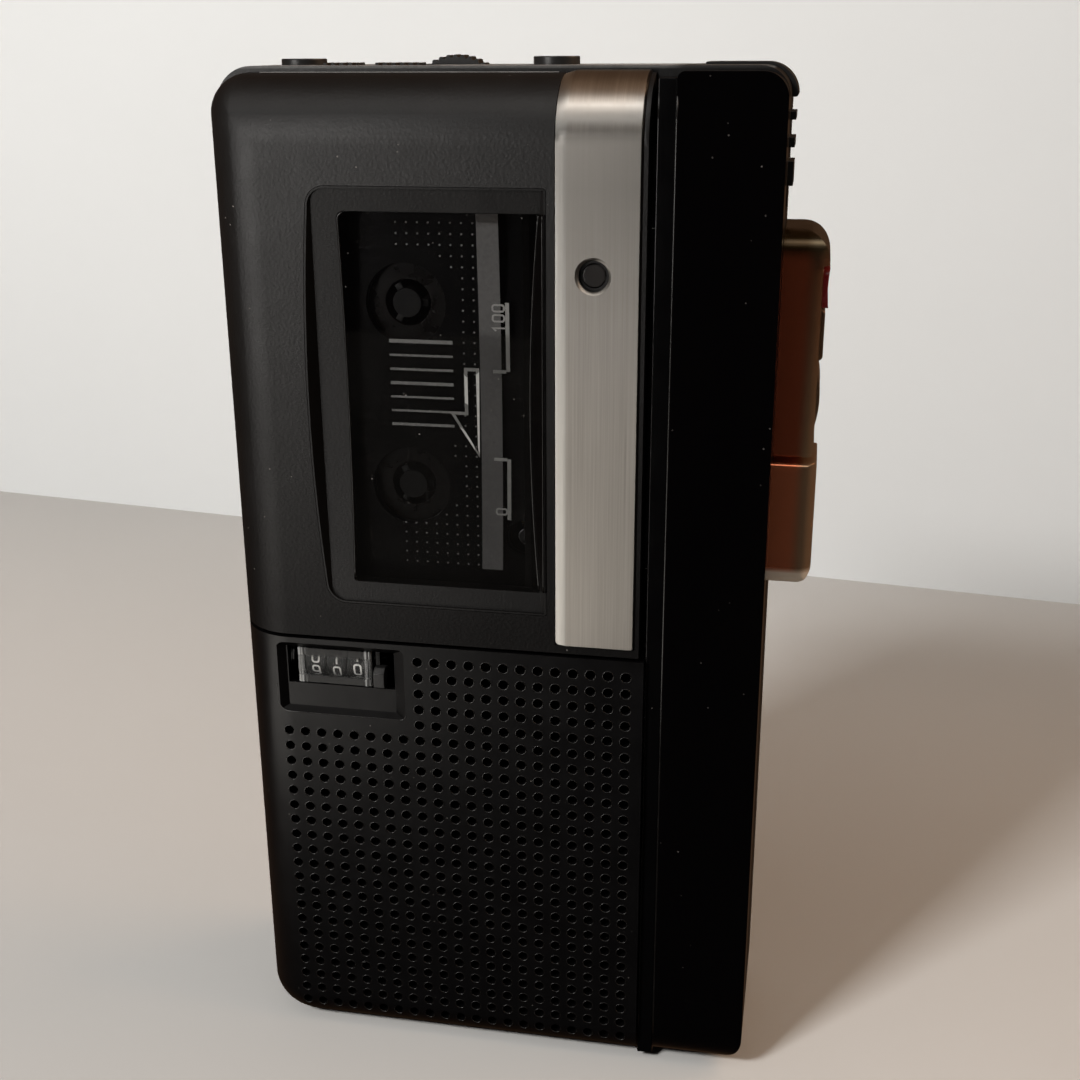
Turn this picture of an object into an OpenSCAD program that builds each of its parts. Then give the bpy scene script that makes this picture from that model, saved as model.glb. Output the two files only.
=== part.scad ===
// Pocket microcassette recorder standing upright.
// Millimetres. X to the right, Y from front to back, Z up.
// The front faces -Y, the base is at Z = 0.

/* [Grille] */
// Diameter of the round grille holes
grille_hole_d = 1.22; // [0.9:0.02:1.4]
// Number of hole columns
grille_cols = 21; // [12:1:21]
// Number of hole rows
grille_rows = 25; // [16:1:25]

/* [Case] */
// Thickness of the moulded outer walls
wall = 1.5; // [1.4:0.05:1.6]
// Depth of the trim groove beside the side panel
groove_depth = 0.8; // [0.6:0.1:1.0]

/* [Door] */
// Deepest point of the dished window
dish_depth = 1.4; // [1.1:0.1:1.5]
// Radius of the indicator hole in the trim strip
led_hole_r = 1.6; // [1.4:0.05:1.7]

/* [Controls] */
// Radius of the volume wheel
wheel_r = 6.0; // [5.8:0.1:6.2]
// Number of ribs on the volume wheel
wheel_ribs = 44; // [30:1:60]
// Diameter of the plug hole in each jack
jack_bore_d = 3.6; // [3.5:0.05:3.7]
// How far the keys stand out of the side of the case
key_out = 4.95; // [4.75:0.05:4.95]

/* [Counter] */
// Radius of the number drums
drum_r = 2.95; // [2.8:0.05:2.95]

/* [Hidden] */
$fn = 72;
xl = -33.1;                // left side of the body
xr = 28.15;                // right side of the body
yf = -11.75;               // front plane
yr = 12.0;                 // back plane
bh = 116;                  // height of the front mouldings
bt = 116.65;               // height of the rear case
rc = 4.2;                  // upper left corner seen from the front
rl = 7;                    // front left edge
rt = 7;                    // front top edge of the door
rb = 4.5;                  // front bottom edge
ysplit = -6.0;             // front mouldings end here, rear case begins
hx = xl + 0.85;            // door hinge axis
hy = -4.0;
door_r = 14.75;            // free edge of the door
door_b = 54.2;             // bottom edge of the door
pitch = 2.01;
gx0 = -26.80;              // first grille column
gz0 = 51.75;                // first grille row
bow_r = 222;               // bowed left edge of the window recess
bow_x = -21.9 + bow_r;
bow_z = 81.9;
dish_r = 235;
dish_z = 81.3;
win_x1 = 4.2;              // right edge of the window recess
win_z0 = 58.8;
win_z1 = 104.75;
pane_x0 = -17.95;
pane_z0 = 61.1;
pane_z1 = 102.4;
led_x = 9.35;
led_z = 96.3;
// tape transport, all axes along Y
tx = -11.5; tz = 72.0;     // take-up spindle
sx = -11.5; sz = 92.4;     // supply spindle
cx = tx + sqrt(14 * 14 - 5.5 * 5.5); cz = 66.5; // capstan
mx = 14.5; mz = 42;        // motor
key_t = 2.2;               // key and head travel
ca0 = -28.7; ca1 = 4.3;    // cassette, X
cb0 = 57.2; cb1 = 107.2;   // cassette, Z
cf = -8.6; cr = -1.4;      // cassette, Y
kx = xr + key_out;         // outermost face of the keys

// ---- helpers -------------------------------------------------------------
module bx(x0, x1, y0, y1, z0, z1) translate([x0, y0, z0]) cube([x1 - x0, y1 - y0, z1 - z0]);
module yc(x, z, y0, y1, r) translate([x, y0, z]) rotate([-90, 0, 0]) cylinder(h = y1 - y0, r = r);
module xc(y, z, x0, x1, r) translate([x0, y, z]) rotate([0, 90, 0]) cylinder(h = x1 - x0, r = r);
module zc(x, y, z0, z1, r) translate([x, y, z0]) cylinder(h = z1 - z0, r = r);
// rectangle with its own radius at each corner: bottom left, bottom right, top right, top left
module rr(x0, y0, x1, y1, r) {
  e = 1;
  difference() {
    translate([x0, y0]) square([x1 - x0, y1 - y0]);
    if (r[0] > 0) difference() { translate([x0 - e, y0 - e]) square(r[0] + e); translate([x0 + r[0], y0 + r[0]]) circle(r[0]); }
    if (r[1] > 0) difference() { translate([x1 - r[1], y0 - e]) square(r[1] + e); translate([x1 - r[1], y0 + r[1]]) circle(r[1]); }
    if (r[2] > 0) difference() { translate([x1 - r[2], y1 - r[2]]) square(r[2] + e); translate([x1 - r[2], y1 - r[2]]) circle(r[2]); }
    if (r[3] > 0) difference() { translate([x0 - e, y1 - r[3]]) square(r[3] + e); translate([x0 + r[3], y1 - r[3]]) circle(r[3]); }
  }
}
// outlines drawn as (X, Z), (X, Y) and (Y, Z), extruded along the third axis
module pxz(y0, y1) translate([0, y1, 0]) rotate([90, 0, 0]) linear_extrude(y1 - y0) children();
module pxy(z0, z1) translate([0, 0, z0]) linear_extrude(z1 - z0) children();
module pyz(x0, x1) translate([x0, 0, 0]) rotate([90, 0, 90]) linear_extrude(x1 - x0) children();
// half turn sections swept about an axis along Y
module spin_y(x, z) translate([x, 0, z]) rotate([-90, 0, 0]) rotate_extrude() children();

// door body, inset i
module door_env(i) intersection() {
  pxy(45, 120) rr(xl + i, yf + i, 30, 6, [rl - i, 0, 0, 0]);
  pyz(-40, 25) rr(yf + i, 45, 6, bh - i, [0, 0, 0, rt - i]);
}
// upper left corner of the door, the edge rounding turned about an axis from front to back
module door_corner() translate([xl + rc, 0, bh - rc]) rotate([-90, 0, 0]) rotate(180) rotate_extrude(angle = 90) difference() {
  translate([rc - rl, yf + rl]) circle(rl);
  translate([rc - rl, yf + rl]) circle(rl - wall);
  translate([-20, -30]) square([20, 60]);
  translate([-1, yf + rl]) square([20, 20]);
}
// shell of the lower front body: straight part, then the corner turned about its upright axis
module low_shell() {
  pyz(xl + rl, 15.35) difference() {
    rr(yf, 0, ysplit - 0.05, 53.75, [rb, 0, 0, 0]);
    rr(yf + wall, wall, 0, 60, [rb - wall, 0, 0, 0]);
  }
  intersection() {
    translate([xl + rl, yf + rl, 0]) rotate(180) rotate_extrude(angle = 90) difference() {
      rr(0, 0, rl, 53.75, [0, rb, 0, 0]);
      rr(0, wall, rl - wall, 60, [0, rb - wall, 0, 0]);
    }
    bx(xl - 1, xl + rl + 1, -13, ysplit - 0.05, -1, 60);
  }
}
// rear tub, inset i
module rear_env(i) intersection() {
  pxz(-8, 13) rr(xl + i, i, xr - i, bt - i, [rb - i, 4.5 - i, 3.0 - i, rc - i]);
  pxy(-2, 120) rr(xl + i, yf + i, xr - i, yr - i, [rl - i, 0, 3 - i, 3 - i]);
  pyz(-40, 40) rr(-10, i, yr - i, bt - i, [0, 3 - i, 3 - i, 0]);
}
// what lies outside a round corner between the bowed edge and a level edge; q is the level of its centre
module bow_corner(r, q, g, d) {
  p = bow_x - sqrt((bow_r - r) * (bow_r - r) - (q - bow_z) * (q - bow_z));
  u = [p - bow_x, q - bow_z] / (bow_r - r);
  translate([p, q]) difference() {
    polygon([[0, 0], [0, d * (r + 3)], [-r - 3, d * (r + 3)], u * (r + 4)]);
    circle(r + g);
  }
}
module bow_corners(g) {
  bow_corner(1.9, win_z1 - 1.9, g, 1);
  bow_corner(2.1, win_z0 + 2.1, g, -1);
}
module win_outline(g) difference() {
  intersection() {
    translate([bow_x, bow_z]) circle(bow_r + g, $fn = 1440);
    rr(-23.2, win_z0 - g, win_x1 + g, win_z1 + g, [0, 0.4, 0.4, 0]);
  }
  bow_corners(g);
}
// dished surface offset d towards the back
module dish(d, x0, x1) translate([x0, yf + dish_depth - dish_r, dish_z]) rotate([0, 90, 0]) cylinder(h = x1 - x0, r = dish_r + d, $fn = 1440);
module slant(g) pxy(50, 110) polygon([[-40, yf - 1], [win_x1 + 1.2 - g, yf - 1], [win_x1 - 1.2 * 5 - g, yf + 5], [-40, yf + 5]]);
module win_pocket() intersection() {
  dish(0, -30, 10);
  slant(0);
  translate([bow_x, yf - 0.5, bow_z]) rotate([-90, 0, 0]) cylinder(h = 4, r1 = bow_r + 0.31, r2 = bow_r + 0.31 - 0.62 * 4, $fn = 1440);
  pxz(yf - 0.5, yf + 3) difference() { rr(-23.2, win_z0, win_x1 + 1, win_z1, [0, 0.3, 0.3, 0]); bow_corners(0); }
}
// trim strip: section in (radius from the top bend, X), flat part and bend
function strip_pts(g, pr) = [[rt - 0.45 - g, -(5.35 - g)], [rt + (pr ? -0.1 : 2), -(5.35 - g)], [rt + (pr ? 0.25 : 2), -(6.6 - g)],
  [rt + (pr ? 0.25 : 2), -(14.05 + g)], [rt + (pr ? 0.1 : 2), -(14.25 + g)], [rt - 0.45 - g, -(14.25 + g)]];
module strip_solid(g, pr, zb) {
  zt = bh - rt; yt = yf + rt;
  translate([0, yt, zt]) multmatrix([[0, 0, -1, 0], [-1, 0, 0, 0], [0, 1, 0, 0], [0, 0, 0, 1]]) rotate_extrude(angle = 90, $fn = 96) polygon(strip_pts(g, pr));
  pxy(zb, zt) polygon([for (p = strip_pts(g, pr)) [-p[1], yt - p[0]]]);
}
// spur gear outline
function invd(a) = (tan(a) - a * PI / 180) * 180 / PI;
function gth(r, rbase, half) = half - invd(acos(min(1, rbase / r)));
function gpts(m, z, bl) = let (rp = m * z / 2, rbase = rp * cos(20), ra = rp + m * 0.95, rf = rp - 1.25 * m,
    half = 90 / z - bl / rp * 90 / PI + invd(20), r0 = max(rbase, rf))
  [for (i = [0 : z - 1]) let (a0 = 360 / z * i) each concat(
    [rf * [cos(a0 - half), sin(a0 - half)]],
    [for (k = [0 : 4]) let (r = r0 + (ra - r0) * k / 4, t = gth(r, rbase, half)) r * [cos(a0 - t), sin(a0 - t)]],
    [for (k = [4 : -1 : 0]) let (r = r0 + (ra - r0) * k / 4, t = gth(r, rbase, half)) r * [cos(a0 + t), sin(a0 + t)]],
    [rf * [cos(a0 + half), sin(a0 + half)]])];
gphi = atan2(tz - cz, tx - cx);
module ring_y(x, z, y, big, small) spin_y(x, z) translate([big, y]) circle(small, $fn = 24);

// ---- case ----------------------------------------------------------------
screw_at = [[23.4, 7], [20.6, 104.5], [-28.0, 62], [-28.0, 99]];

module front_frame() color([0.06, 0.06, 0.065]) difference() {
  union() {
    // floor of the trim groove
    bx(15.45, 17.3, yf + groove_depth, -9.75, 0.9, 115.6);
    // upright between tape bay and key column
    bx(15.45, 16.65, yf + groove_depth, -6.2, 0.9, 115.6);
    // web behind the side panel
    pxz(-9.75, -8.75) rr(15.45, 2.8, 26.55, 114.3, [0, 3.2, 2.9, 0]);
    // shelf under the tape bay
    bx(-30.6, 16.65, -7.3, -5.1, 54.3, 55.5);
    // screw posts
    yc(23.4, 7, -9, 8.3, 2.2);
    yc(20.6, 104.5, -9, 8.3, 2.2);
  }
  yc(23.4, 7, 1, 9, 0.95);
  yc(20.6, 104.5, 1, 9, 0.95);
}

module speaker_panel() color([0.09, 0.09, 0.1]) difference() {
  union() {
    low_shell();
    bx(-29.2, 15.35, -10.4, -7.4, 52.55, 53.75);
    bx(14.15, 15.35, -10.4, yf + groove_depth - 0.05, 2, 53.75);
  }
  for (c = [0 : grille_cols - 1]) for (r = [0 : grille_rows - 1])
    if (!(c < 8 && r < 5)) yc(gx0 + pitch * c, gz0 - pitch * r, -13, -7.6, grille_hole_d / 2);
  // counter recess with sloped walls
  intersection() {
    pxz(yf - 0.6, yf + 0.9) rr(-28.05, 44.2, -12.35, 53.1, [1.4, 0.7, 0.7, 1.4]);
    pyz(-30, -10) polygon([[yf - 0.9, 43.67], [yf + 0.9, 44.73], [yf + 0.9, 52.3], [yf - 0.9, 53.9]]);
    pxy(40, 56) polygon([[-29.25, yf - 0.9], [-11.0, yf - 0.9], [-13.7, yf + 0.9], [-26.85, yf + 0.9]]);
  }
  // opening for the counter lens and the reset button, floor kept below it
  bx(-26.75, -13.75, -12, -9, 47.65, 52.3);
  // relief behind the recess for the number drums
  bx(-26.25, -15.65, -10.2, -6, 46.0, 53.6);
}

module side_panel() color([0.015, 0.015, 0.016]) difference() {
  intersection() {
    pxz(yf, ysplit - 0.05) rr(17.35, 0.5, xr, 116.2, [1.2, 4.5, 2.5, 0.8]);
    pyz(10, 40) rr(yf, 0.5, 0, 116.3, [4.1, 0, 0, 0]);
  }
  pxz(yf + 1.4, 0) rr(18.6, 2.6, xr - 1.4, 114.5, [0.6, 3.1, 2.8, 0.6]);
  bx(17, 19, -9.8, 0, 2.6, 114.5);
}

module rear_case() color([0.055, 0.055, 0.06]) difference() {
  union() {
    intersection() {
      difference() { rear_env(0); rear_env(wall); }
      bx(-40, 40, ysplit, 20, -1, 120);
    }
    // battery box
    intersection() {
      rear_env(0.2);
      union() {
        bx(xl + 1, 1.2, -4.9, -4.2, 1, 55.8);
        bx(0.2, 1.2, -4.9, 11, 1, 55.8);
        bx(xl + 1, 1.2, -4.9, 11, 55.0, 55.8);
        bx(xl + 1, -30.2, -4.9, 11, 1, 55.8);
      }
    }
    // hinge bosses
    intersection() { rear_env(0); bx(xl - 1, -30.6, -4.5, -2.6, 110.6, 115.5); }
    intersection() { rear_env(0); bx(xl - 1, -30.6, -5.4, -2.6, 50.4, 53.9); }
    // screw bosses
    for (s = screw_at) yc(s[0], s[1], 8.5, 11, 3.0);
  }
  // door clearance: top edge, side edge and hinge cove
  bx(-40, 14.95, -8, -4.6, 53.95, 120);
  bx(-40, -30.9, -8, hy, 53.95, 110.55);
  zc(hx, hy, 53.95, 110.55, 1.15);
  // hinge pin holes
  zc(hx, hy, 51.8, 54.5, 0.6);
  zc(hx, hy, 110, 112.35, 0.6);
  // room behind the number drums
  bx(-26.25, -15.65, -6, -4.0, 46.2, 53.8);
  // battery opening, open at the base, with side grooves
  bx(-30.2, 0.2, 9.0, 13, -1, 55.0);
  bx(-31.0, 1.0, 10.75, 11.5, -1, 55.0);
  // screw holes
  for (s = screw_at) { yc(s[0], s[1], 5, 13, 1.15); yc(s[0], s[1], 10.7, 13, 2.15); }
  // top openings: jacks, wheel, switches
  zc(-25.35, 2.5, 113, 118, 2.6);
  zc(3.05, 2.5, 113, 118, 2.6);
  bx(-13.75, -2.95, 3.25, 6.35, 113, 118);
  bx(-23.1, -17.7, -1.95, 0.97, 113, 118);
  bx(-16.1, -9.2, -1.95, 1.05, 113, 118);
  // side openings: key stems, stop key, pause slider
  bx(26, 30, -0.6, 3.6, 93.9, 96.6);
  bx(26, 30, -1.8, 2.4, 88.9, 92.2);
  bx(26, 30, -1.6, 3.2, 79.6, 85.4);
  bx(26, 30, -5.4, 6.9, 61.3, 75.85);
  bx(26, 30, -1.4, 1.4, 103.6, 109.2);
  bx(xr - 0.7, 30, -2.8, 2.8, 102.1, 112.3);
}

module battery_cover() color([0.055, 0.055, 0.06]) difference() {
  union() {
    intersection() {
      difference() { rear_env(0); rear_env(wall - 0.05); }
      bx(-30.0, 0.0, 9.2, 13, -1, 54.8);
    }
    bx(-30.8, 0.8, 10.9, 11.35, 3.2, 54.8);
  }
  // thumb grip
  for (k = [0 : 5]) bx(-20, -10, yr - 0.4, 13, 41 + 1.6 * k, 41.8 + 1.6 * k);
}

module case_screws() color([0.45, 0.45, 0.46]) for (s = screw_at) difference() {
  union() { yc(s[0], s[1], 10.85, 11.85, 1.95); yc(s[0], s[1], 3.2, 10.9, 0.9); }
  bx(s[0] - 1.3, s[0] + 1.3, 11.35, 13, s[1] - 0.22, s[1] + 0.22);
  bx(s[0] - 0.22, s[0] + 0.22, 11.35, 13, s[1] - 1.3, s[1] + 1.3);
}

// ---- door ----------------------------------------------------------------
module door_shell() color([0.045, 0.045, 0.05]) difference() {
  union() {
    intersection() {
      difference() { door_env(0); door_env(wall); bx(xl - 1, xl + rc, -14, 0, bh - rc, 121); }
      union() {
        bx(-40, door_r, -13, yf + rt, door_b, 120);
        bx(-40, -31.2, -5, hy, door_b, 110.4);
      }
    }
    door_corner();
    zc(hx, hy, door_b, 110.4, 0.85);
    bx(13.35, door_r, -10.4, -7.5, door_b, 112);
    bx(-29.2, door_r, -10.4, -7.5, door_b, door_b + 1.4);
  }
  pxz(-13, -8) win_outline(0.25);
  strip_solid(0.05, false, 55.2);
  yc(led_x, led_z, -13, -9, 1.3);
  zc(hx, hy, 50, 57.1, 0.57);
  zc(hx, hy, 107.4, 115, 0.57);
  // swing room beside the upper hinge boss
  bx(-40, -29.5, -5.05, 0, 110.35, 120);
}

module window_bezel() color([0.07, 0.07, 0.075]) difference() {
  pxz(yf, yf + 2.2) win_outline(0.2);
  win_pocket();
  intersection() { pxz(-14, -8) rr(pane_x0, pane_z0, 20, pane_z1, [0.4, 0, 0, 0.8]); slant(0); }
}

module door_window() color([0.05, 0.045, 0.04, 0.5]) intersection() {
  difference() { dish(1.2, -30, 10); dish(0, -31, 11); }
  pxz(-14, -8) rr(pane_x0 + 0.05, pane_z0 + 0.05, 20, pane_z1 - 0.05, [0.35, 0, 0, 0.75]);
  slant(0.05);
}

module trim_strip() color([0.55, 0.53, 0.5]) difference() {
  strip_solid(0, true, 55.25);
  yc(led_x, led_z, -14, -9, led_hole_r);
  // countersunk rim of the indicator hole
  translate([led_x, yf - 0.35, led_z]) rotate([-90, 0, 0]) cylinder(h = 0.5, r1 = led_hole_r + 0.42, r2 = led_hole_r - 0.08);
  // rounded lower corners
  pxz(-14, -9) difference() { translate([5, 55]) square([0.85, 0.75]); translate([5.85, 55.75]) circle(0.5); }
  pxz(-14, -9) difference() { translate([13.75, 55]) square([1, 0.75]); translate([13.75, 55.75]) circle(0.5); }
}

module led_lens() color([0.25, 0.25, 0.25]) union() {
  yc(led_x, led_z, yf + 0.5, -9.4, 1.25);
}

module hinge_pins() color([0.6, 0.6, 0.62]) {
  zc(hx, hy, 52.0, 57.0, 0.55);
  zc(hx, hy, 107.5, 112.2, 0.55);
}

module door_latch() color([0.05, 0.05, 0.05]) union() {
  bx(12.1, 13.3, -10.2, -4.8, 79, 83);
  bx(12.1, 14.0, -5.8, -4.8, 79, 83);
}

// ---- keys and controls ---------------------------------------------------
module key_guard() color([0.23, 0.15, 0.11]) difference() {
  union() {
    intersection() {
      pxz(-5.25, 6.75) rr(xr + 0.03, 76.3, kx - 0.6, 97.2, [0, 0.5, 0, 0]);
      pxy(70, 105) rr(20, -5.25, kx - 0.6, 6.75, [0, 1.6, 1.6, 0]);
      pyz(20, 40) rr(-5.25, 76.3, 6.75, 97.2, [0.5, 0.5, 0, 0]);
    }
    // crown that stands out over the record key
    intersection() {
      pxz(-5.25, 6.75) rr(xr + 0.03, 96.85, kx - 0.05, 100.45, [0, 0.3, 3.2, 0]);
      pxy(90, 105) rr(20, -5.25, kx - 0.05, 6.75, [0, 1.6, 1.6, 0]);
      pyz(20, 40) rr(-5.25, 90, 6.75, 100.45, [0, 0, 1.2, 3.1]);
    }
  }
  bx(xr - 1, 40, -4.05, 5.55, 77.4, 96.85);
  xz_pin_hole();
}
module xz_pin_hole() yc(30.2, 82.6, -5.0, 6.5, 0.85);

module rec_key() color([0.3, 0.03, 0.04]) difference() {
  union() {
    pyz(kx - 2.0, kx) rr(-3.95, 92.35, 5.45, 96.45, [0.3, 0.3, 1.2, 1.2]);
    bx(21.0, kx - 1.9, -0.4, 3.4, 94.1, 96.0);
  }
  // finger dish
  translate([kx + 14.87, 0.75, 94.4]) rotate([90, 0, 0]) cylinder(h = 20, r = 15, center = true);
}

module play_key() color([0.23, 0.15, 0.11]) union() {
  pxz(-3.95, 5.45) rr(kx - 2.4, 86.75, kx - 0.25, 92.2, [0, 0.5, 0.5, 0]);
  bx(19.4, kx - 2.3, -1.6, 2.2, 89.1, 92.0);
}

module wind_rocker() color([0.23, 0.15, 0.11]) union() {
  intersection() {
    bx(kx - 2.9, kx - 0.3, -3.95, 5.45, 77.7, 86.4);
    yc(kx - 12.3, 82.6, -10, 10, 12.0);
  }
  yc(30.2, 82.6, -4.9, 6.4, 0.8);
  bx(22.5, kx - 2.8, -1.4, 3.0, 80.7, 84.3);
}

module stop_key() color([0.23, 0.15, 0.11]) difference() {
  intersection() {
    pxz(-5.25, 6.75) rr(25.6, 61.5, kx - 0.15, 75.65, [0, 2.3, 0.5, 0]);
    pxy(60, 78) rr(20, -5.25, kx - 0.15, 6.75, [0, 1.6, 1.6, 0]);
    pyz(20, 40) rr(-5.25, 61.5, 6.75, 75.65, [1.7, 1.7, 3.2, 0.8]);
  }
  // notch across the face
  bx(kx - 0.45, 40, -6, 8, 68.4, 68.8);
}

module key_spring_comb() color([0.7, 0.7, 0.68]) union() {
  bx(17.2, 17.6, 4.0, 6.4, 63, 97.5);
  bx(17.2, 17.6, 0.4, 4.1, 94.3, 96.2);
  bx(17.2, 17.6, 0.4, 4.1, 81.2, 83.8);
  bx(17.2, 17.6, 0.4, 4.1, 68, 71);
}

module pause_slider() color([0.03, 0.03, 0.03]) union() {
  bx(xr - 0.55, xr - 0.05, -2.6, 2.6, 104.6, 112.15);
  for (z = [[111.3, 112.15], [108.58, 109.6], [104.72, 107.2]]) bx(xr - 0.1, xr + 0.6, -2.6, 2.6, z[0], z[1]);
  bx(25.4, xr - 0.5, -1.2, 1.2, 106, 109);
}

module volume_wheel() color([0.05, 0.05, 0.05]) union() {
  translate([-8.35, 6.0, 117.7 - wheel_r]) rotate([90, 0, 0]) linear_extrude(2.4) difference() {
    polygon([for (k = [0 : 4 * wheel_ribs - 1]) let (a = 90 * k / wheel_ribs, r = (k % 4 < 2) ? wheel_r : wheel_r - 0.28) r * [cos(a), sin(a)]]);
    circle(1.0);
  }
  yc(-8.35, 117.7 - wheel_r, 3.0, 7.3, 1.2);
}

module volume_pot() color([0.3, 0.3, 0.3]) difference() {
  bx(-13.55, -3.15, 6.4, 7.9, 105.8, 114.2);
  yc(-8.35, 117.7 - wheel_r, 6, 9, 1.25);
}

module speed_switch() color([0.04, 0.04, 0.04]) difference() {
  union() {
    bx(-21.75, -17.85, -1.8, 0.9, 113.2, 116.92);
    bx(-20.5, -19.1, -1.2, 0.3, 111.6, 113.3);
  }
  for (k = [0 : 3]) bx(-21.3 + 0.95 * k, -20.9 + 0.95 * k, -3, 2, 116.62, 117.2);
}

module voice_switch() color([0.04, 0.04, 0.04]) difference() {
  union() {
    bx(-15.95, -10.95, -1.8, 0.9, 113.2, 116.92);
    bx(-14.2, -12.8, -1.2, 0.3, 111.6, 113.3);
  }
  for (k = [0 : 4]) bx(-15.5 + 0.95 * k, -15.1 + 0.95 * k, -3, 2, 116.62, 117.2);
}

module switch_bodies() color([0.6, 0.6, 0.58]) {
  difference() { bx(-22.5, -17.1, -2.2, 1.3, 109.2, 112.6); bx(-21.9, -18.1, -1.4, 0.5, 111.4, 113); }
  difference() { bx(-16.5, -9.1, -2.2, 1.3, 109.2, 112.6); bx(-14.5, -10.5, -1.4, 0.5, 111.4, 113); }
}

module jack(x, zt) difference() {
  union() {
    bx(x - 3.6, x + 3.6, -1.0, 6.0, 102.4, 109.0);
    zc(x, 2.5, 108.9, zt, 2.5);
  }
  zc(x, 2.5, 103.4, 118, jack_bore_d / 2);
}
module mic_jack() color([0.1, 0.1, 0.1]) jack(-25.35, 117.3);
module ear_jack() color([0.1, 0.1, 0.1]) jack(3.05, 117.5);

module mic_cap() color([0.03, 0.03, 0.03]) difference() {
  pxz(2.0, 9.0) difference() {
    rr(19.0, 113.4, xr + 0.65, bt + 0.25, [0.1, 0.3, 3.4, 0.15]);
    rr(0, 100, xr + 0.03, bt + 0.03, [0, 0, 3.0, 0]);
  }
  for (k = [0 : 3]) bx(20.1, 26.4, 2.9 + 1.5 * k, 3.5 + 1.5 * k, 114, 118);
}

module microphone() color([0.55, 0.55, 0.55]) zc(22.7, 5.2, 108.6, 113.9, 2.7);

// ---- counter -------------------------------------------------------------
dy = -7.2; dz = 50.0;
module counter_frame() color([0.06, 0.06, 0.06]) difference() {
  union() {
    bx(-25.85, -25.25, -9.2, -5.05, 46.5, 52.4);
    bx(-16.55, -15.95, -9.2, -5.05, 46.5, 52.4);
    bx(-25.85, -15.95, -9.2, -5.05, 46.3, 46.9);
  }
  xc(dy, dz, -27, -13, 0.68);
}
module counter_lens() color([0.8, 0.8, 0.8, 0.3]) bx(-25.47, -16.58, -10.85, -10.3, 47.75, 52.2);
module drum(x) difference() {
  xc(dy, dz, x - 1.2, x + 1.2, drum_r);
  xc(dy, dz, x - 2, x + 2, 0.66);
}
module counter_drum_hundreds() color([0.05, 0.05, 0.05]) drum(-23.58);
module counter_drum_tens() color([0.05, 0.05, 0.05]) drum(-21.03);
module counter_drum_units() color([0.05, 0.05, 0.05]) drum(-18.48);
module counter_shaft() color([0.6, 0.6, 0.6]) union() {
  xc(dy, dz, -27.25, -15.65, 0.62);
  difference() {
    xc(dy, dz, -27.15, -26.05, 1.9);
    translate([-26.6, dy, dz]) rotate([0, 90, 0]) rotate_extrude() translate([2.1, 0]) circle(0.45, $fn = 24);
  }
}
module reset_button() color([0.03, 0.03, 0.03]) union() {
  // wedge that leans back towards its top
  pyz(-16.2, -14.9) polygon([[-10.0, 47.95], [-11.4, 47.95], [-11.4, 49.7], [-10.8, 50.3], [-10.0, 50.3]]);
  bx(-15.8, -15.0, -10.1, -9.2, 48.6, 50.0);
}

// ---- sound ---------------------------------------------------------------
spx = -6.85; spz = 24.8;
module grille_felt() color([0.02, 0.02, 0.02]) difference() {
  bx(-25.4, 13.8, -10.15, -9.95, 5.6, 52.3);
  bx(-28, -11.0, -11, -9, 45.5, 53);
}
module speaker_frame() color([0.5, 0.5, 0.5]) union() {
  spin_y(spx, spz) polygon([[16.8, -9.85], [18.6, -9.85], [18.6, -9.1], [17.6, -9.1], [9.6, -6.6], [8.6, -6.6], [8.6, -7.2], [9.2, -7.2], [16.8, -9.5]]);
  spin_y(spx, spz) polygon([[0, -6.4], [9.0, -6.4], [9.0, -6.62], [9.4, -6.62], [9.4, -5.6], [8.0, -5.05], [0, -5.05]]);
}
module speaker_cone() color([0.08, 0.08, 0.08]) spin_y(spx, spz)
  polygon([[0, -8.2], [3.0, -8.0], [4.6, -7.4], [16.4, -9.75], [16.5, -9.6], [4.7, -7.1], [3.0, -7.6], [0, -7.8]]);

// ---- tape transport ------------------------------------------------------
module deck_plate() color([0.62, 0.63, 0.64]) difference() {
  union() {
    bx(-30.8, 14.9, -0.6, 0.2, 56.2, 108.6);
    yc(-28.0, 62, 0.1, 8.3, 2.2);
    yc(-28.0, 99, 0.1, 8.3, 2.2);
  }
  yc(tx, tz, -2, 2, 1.56);
  yc(sx, sz, -2, 2, 1.56);
  yc(cx, cz, -2, 2, 1.8);
  yc(-28.0, 62, 1, 9, 0.95);
  yc(-28.0, 99, 1, 9, 0.95);
  bx(-29.35, -21.35, -2, 1, 101.6, 110);
  bx(-0.95, 7.05, -2, 1, 101.6, 110);
}

module capstan_bearing() color([0.72, 0.6, 0.32]) difference() {
  union() { yc(cx, cz, -1.2, 0.65, 1.75); yc(cx, cz, -1.2, -0.65, 2.3); }
  yc(cx, cz, -2, 2, 0.95);
}
module capstan() color([0.75, 0.75, 0.76]) yc(cx, cz, -8.0, 7.3, 0.9);
module flywheel() color([0.66, 0.58, 0.36]) difference() {
  union() {
    pxz(0.95, 2.35) translate([cx, cz]) rotate(gphi) polygon(gpts(0.5, 16, 0.05));
    yc(cx, cz, 2.3, 3.0, 2.6);
    yc(cx, cz, 2.9, 5.3, 10.2);
    yc(cx, cz, 5.2, 7.0, 5.6);
  }
  yc(cx, cz, 0, 8, 0.92);
  spin_y(cx, cz) translate([5.7, 6.15]) circle(0.6, $fn = 24);
}
module motor() color([0.6, 0.6, 0.62]) union() {
  yc(mx, mz, -4.0, 4.6, 8.4);
  yc(mx, mz, 4.5, 5.0, 2.4);
}
module motor_pulley() color([0.72, 0.6, 0.32]) difference() {
  union() { yc(mx, mz, 5.3, 7.0, 2.1); yc(mx, mz, 5.1, 7.2, 0.7); }
  spin_y(mx, mz) translate([2.2, 6.15]) circle(0.6, $fn = 24);
}
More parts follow.
